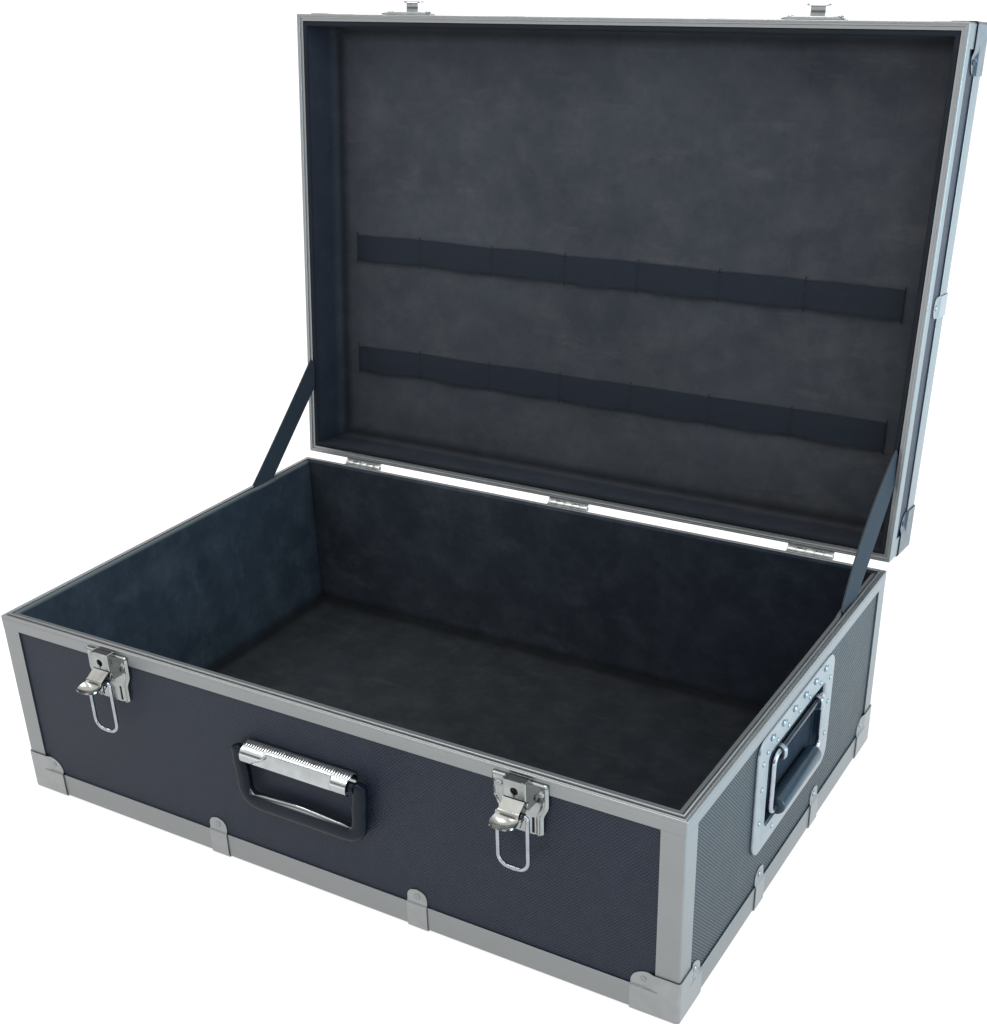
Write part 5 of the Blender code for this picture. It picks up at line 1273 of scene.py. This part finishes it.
# Hinges
def hinge_half(way):
    """A hinge's leaf and knuckles in (along, up, out) from the pin's height: way is -1 on the base, 1 on the lid.

    The leaf is a sheet with two rounded corners. Along its inner edge it swells to a bead, a bell of the fourth
    power. Each knuckle is a tube round the pin, joined to the leaf by a tongue.
    """
    width, reach, radius = 22 * mm, 5 * mm, 2.45 * mm
    bend, start = 3.0, 16.95
    rounding = start + bend * np.sin(np.linspace(0.15, np.pi / 2, 7))
    up = np.concatenate(([0.2, 0.25, 0.45, 0.8, 1.2, 1.5, 2.2, 9, 16], rounding)) * mm
    corner = np.sqrt(np.maximum((bend * mm) ** 2 - (up - start * mm) ** 2, 0))
    half = np.where(up > start * mm, width - bend * mm + corner, width)
    columns = np.linspace(-width, width, 23)

    def height(x, y):
        edge = np.interp(y, up, half)
        bead = 0.92 * mm * bell(y, 0.75 * mm, 0.75 * mm, 4)
        return outer + bead - 0.3 * mm * ease(np.abs(x), edge - 0.5 * mm, edge)

    # Painted shade: a dark line along the leaf's inner edge, by the bead.
    made = plate(columns, up, half, height, shade=lambda x, y: 0.85 * bell(y, 0.6 * mm, 0.9 * mm, 4) + 0 * x)
    for spot in (-15, 0, 15):
        made += moved(rivet(2.3 * mm, 0.7 * mm), place(spot * mm, 12 * mm, outer))
    made = moved(made, Matrix.Diagonal((1, way, 1, 1)))
    pitch = 8.8 * mm
    for slot in ((-2, 0, 2) if way < 0 else (-1, 1)):
        ends = pitch / 2 - 0.08 * mm
        profile = [(1.5 * mm, -ends), (radius, -ends), (radius, ends), (1.5 * mm, ends)]
        profile = looped(fillet(profile, np.array([0, 0.2, 0.2, 0]) * mm, 2))
        # The knuckles' end faces are painted shade.
        shade = np.where(profile[:, 0] < 2.0 * mm, 0.9, 0.0)
        made += moved(revolved(profile, 20, shade), place(slot * pitch, 0, reach) @ turn("Y", math.pi / 2))
        tongue = [(1.4, 0.4), (2.4, 2.0), (3.6, 2.28), (5.0, 2.3), (5.0, 1.5), (3.7, 1.5), (2.9, 1.2), (2.0, 0.3)]
        line = looped(np.array(tongue) * (1, way) * mm)[:, ::-1]
        rows = [(line.mean(0) + 0 * line, -ends), (line, -ends), (line, ends), (line.mean(0) + 0 * line, ends)]
        made.append(surface(np.stack([np.insert(row, 0, slot * pitch + at, axis=1) for row, at in rows], 1)))
    return made


for word, along in hinge_spots.items():
    for body, way in (("base", -1), ("lid", 1)):
        made = moved(hinge_half(way), on_wall("back", along, hinge_z))
        made = moved(made, lid_turn) if body == "lid" else made
        piece(f"hinge_{word}_{body}_half", made, barrel, body, f"hinge_{word}_{body}_leaf")


# Floor, light and camera
def stage():
    """A pale floor that glows, as a white studio sweep does under its lamps, and more at the right and in front."""
    ground = Shader.named("pale_floor")
    where = ground.object_place()
    x, y, _ = ground.split(where)
    cloud = ground.noise(where, 0.8, 3)
    glow = ground.mix(x.step(0.32, 0.70), (0.82, 0.82, 0.82), (1.15, 1.42, 1.60))
    glow = ground.mix((y * -1).step(0.8, 2.2) * 0.8, glow, (2.4, 2.4, 2.4))
    grey = ground.mix(cloud * 0.3, (0.24, 0.24, 0.24), (0.20, 0.20, 0.20))
    ground.set(Base_Color=grey, Roughness=0.85, Specular_IOR_Level=0.1, Emission_Color=glow, Emission_Strength=1.0)
    mesh = bpy.data.meshes.new("studio_floor")
    size = 30
    low = bottom - proud
    corners = [(x * size, y * size, low) for x, y in ((-1, -1), (1, -1), (1, 1), (-1, 1))]
    mesh.from_pydata(corners, [], [(0, 1, 2, 3)])
    mesh.materials.append(ground.owner)
    floor = bpy.data.objects.new("studio_floor", mesh)
    bpy.context.scene.collection.objects.link(floor)


def lamp(name, spot, target, width, height, power, colour):
    """A rectangular lamp that faces a target."""
    light = bpy.data.lights.new(name, "AREA")
    light.shape, light.size, light.size_y = "RECTANGLE", width, height
    light.energy, light.color = power, colour
    item = bpy.data.objects.new(name, light)
    item.location = spot
    item.rotation_mode = "QUATERNION"
    item.rotation_quaternion = (Vector(target) - Vector(spot)).to_track_quat("-Z", "Y")
    bpy.context.scene.collection.objects.link(item)


def camera():
    """The photograph's camera, solved from the case's own edges. Its frame is 987 by 1024 pixels."""
    yaw, pitch, roll = 0.5537, 0.5072, -0.0329
    wide, tall, focal, centre = 987, 1024, 1378.2, (490.9, 667.51)
    c, s = math.cos(yaw), math.sin(yaw)
    turned = np.array(((c, s, 0), (-s, c, 0), (0, 0, 1)))
    base = np.array(((1, 0, 0), (0, 0, -1), (0, 1, 0)))
    c, s = math.cos(pitch), math.sin(pitch)
    tilt = np.array(((1, 0, 0), (0, c, -s), (0, s, c)))
    c, s = math.cos(roll), math.sin(roll)
    level = np.array(((c, -s, 0), (s, c, 0), (0, 0, 1)))
    right, down, ahead = level @ tilt @ base @ turned
    data = bpy.data.cameras.new("photo_camera")
    data.sensor_width = 36
    data.lens = focal / tall * data.sensor_width
    data.shift_x = (wide / 2 - centre[0]) / tall
    data.shift_y = (centre[1] - tall / 2) / tall
    data.clip_start, data.clip_end = 0.05, 200
    item = bpy.data.objects.new("photo_camera", data)
    item.matrix_world = Matrix(np.column_stack((right, -down, -ahead)).tolist()).to_4x4()
    item.location = (0.606905, -0.915065, 0.700365)
    bpy.context.scene.collection.objects.link(item)
    bpy.context.scene.camera = item


def sky():
    """A pale studio: bright at the horizon and overhead, with a dimmer band and soft dark cards between."""
    world = bpy.data.worlds.new("studio_world")
    s = Shader(world)
    way = s.node("ShaderNodeTexCoord").outputs["Generated"]
    x, _, z = s.split(way)
    cards = s.noise(s.scaled(way, 1, 1, 0.6), 2.3, 1.0)
    levels = {0.0: 1.3, 0.09: 1.15, 0.18: 0.42, 0.34: 0.55, 0.50: 1.40, 0.75: 1.50, 1.0: 1.2}
    stops = [(height, (value, value, value)) for height, value in levels.items()]
    level = s.node("ShaderNodeValToRGB", {"stops": stops}, {0: z})
    card = cards.step(0.46, 0.60) * z.step(0.04, 0.16) * z.step(0.50, 0.40)
    dim = s.mix(card, (1.0, 1.0, 1.0), (0.30, 0.31, 0.33))
    light = s.product(level.outputs[0], dim)
    tint = s.mix((x * 0.5 + 0.5).held(), (1.0, 0.99, 0.97), (0.86, 0.95, 1.0))
    s.feed(s.surface.inputs[0], s.product(light, tint))
    s.surface.inputs[1].default_value = 1.0
    bpy.context.scene.world = world


stage()
sky()
camera()
lamp("overhead", (-0.5, 0.4, 2.8), (0, 0, 0.1), 1.1, 0.9, 22, (1.0, 1.0, 1.0))
lamp("left_strip", (-1.25, -0.70, 1.95), (0, -0.22, 0.08), 1.2, 0.16, 5, (1.0, 0.995, 0.98))
lamp("right_window", (2.4, 0.1, 0.7), (0.1, 0, 0.1), 1.4, 1.1, 52, (0.48, 0.80, 1.0))
sun = bpy.data.lights.new("soft_daylight", "SUN")
sun.energy, sun.angle = 0.8, math.radians(70)
daylight = bpy.data.objects.new("soft_daylight", sun)
daylight.matrix_world = turn("X", math.radians(14)) @ turn("Y", math.radians(8))
bpy.context.scene.collection.objects.link(daylight)
bpy.context.scene.view_settings.view_transform = "Standard"
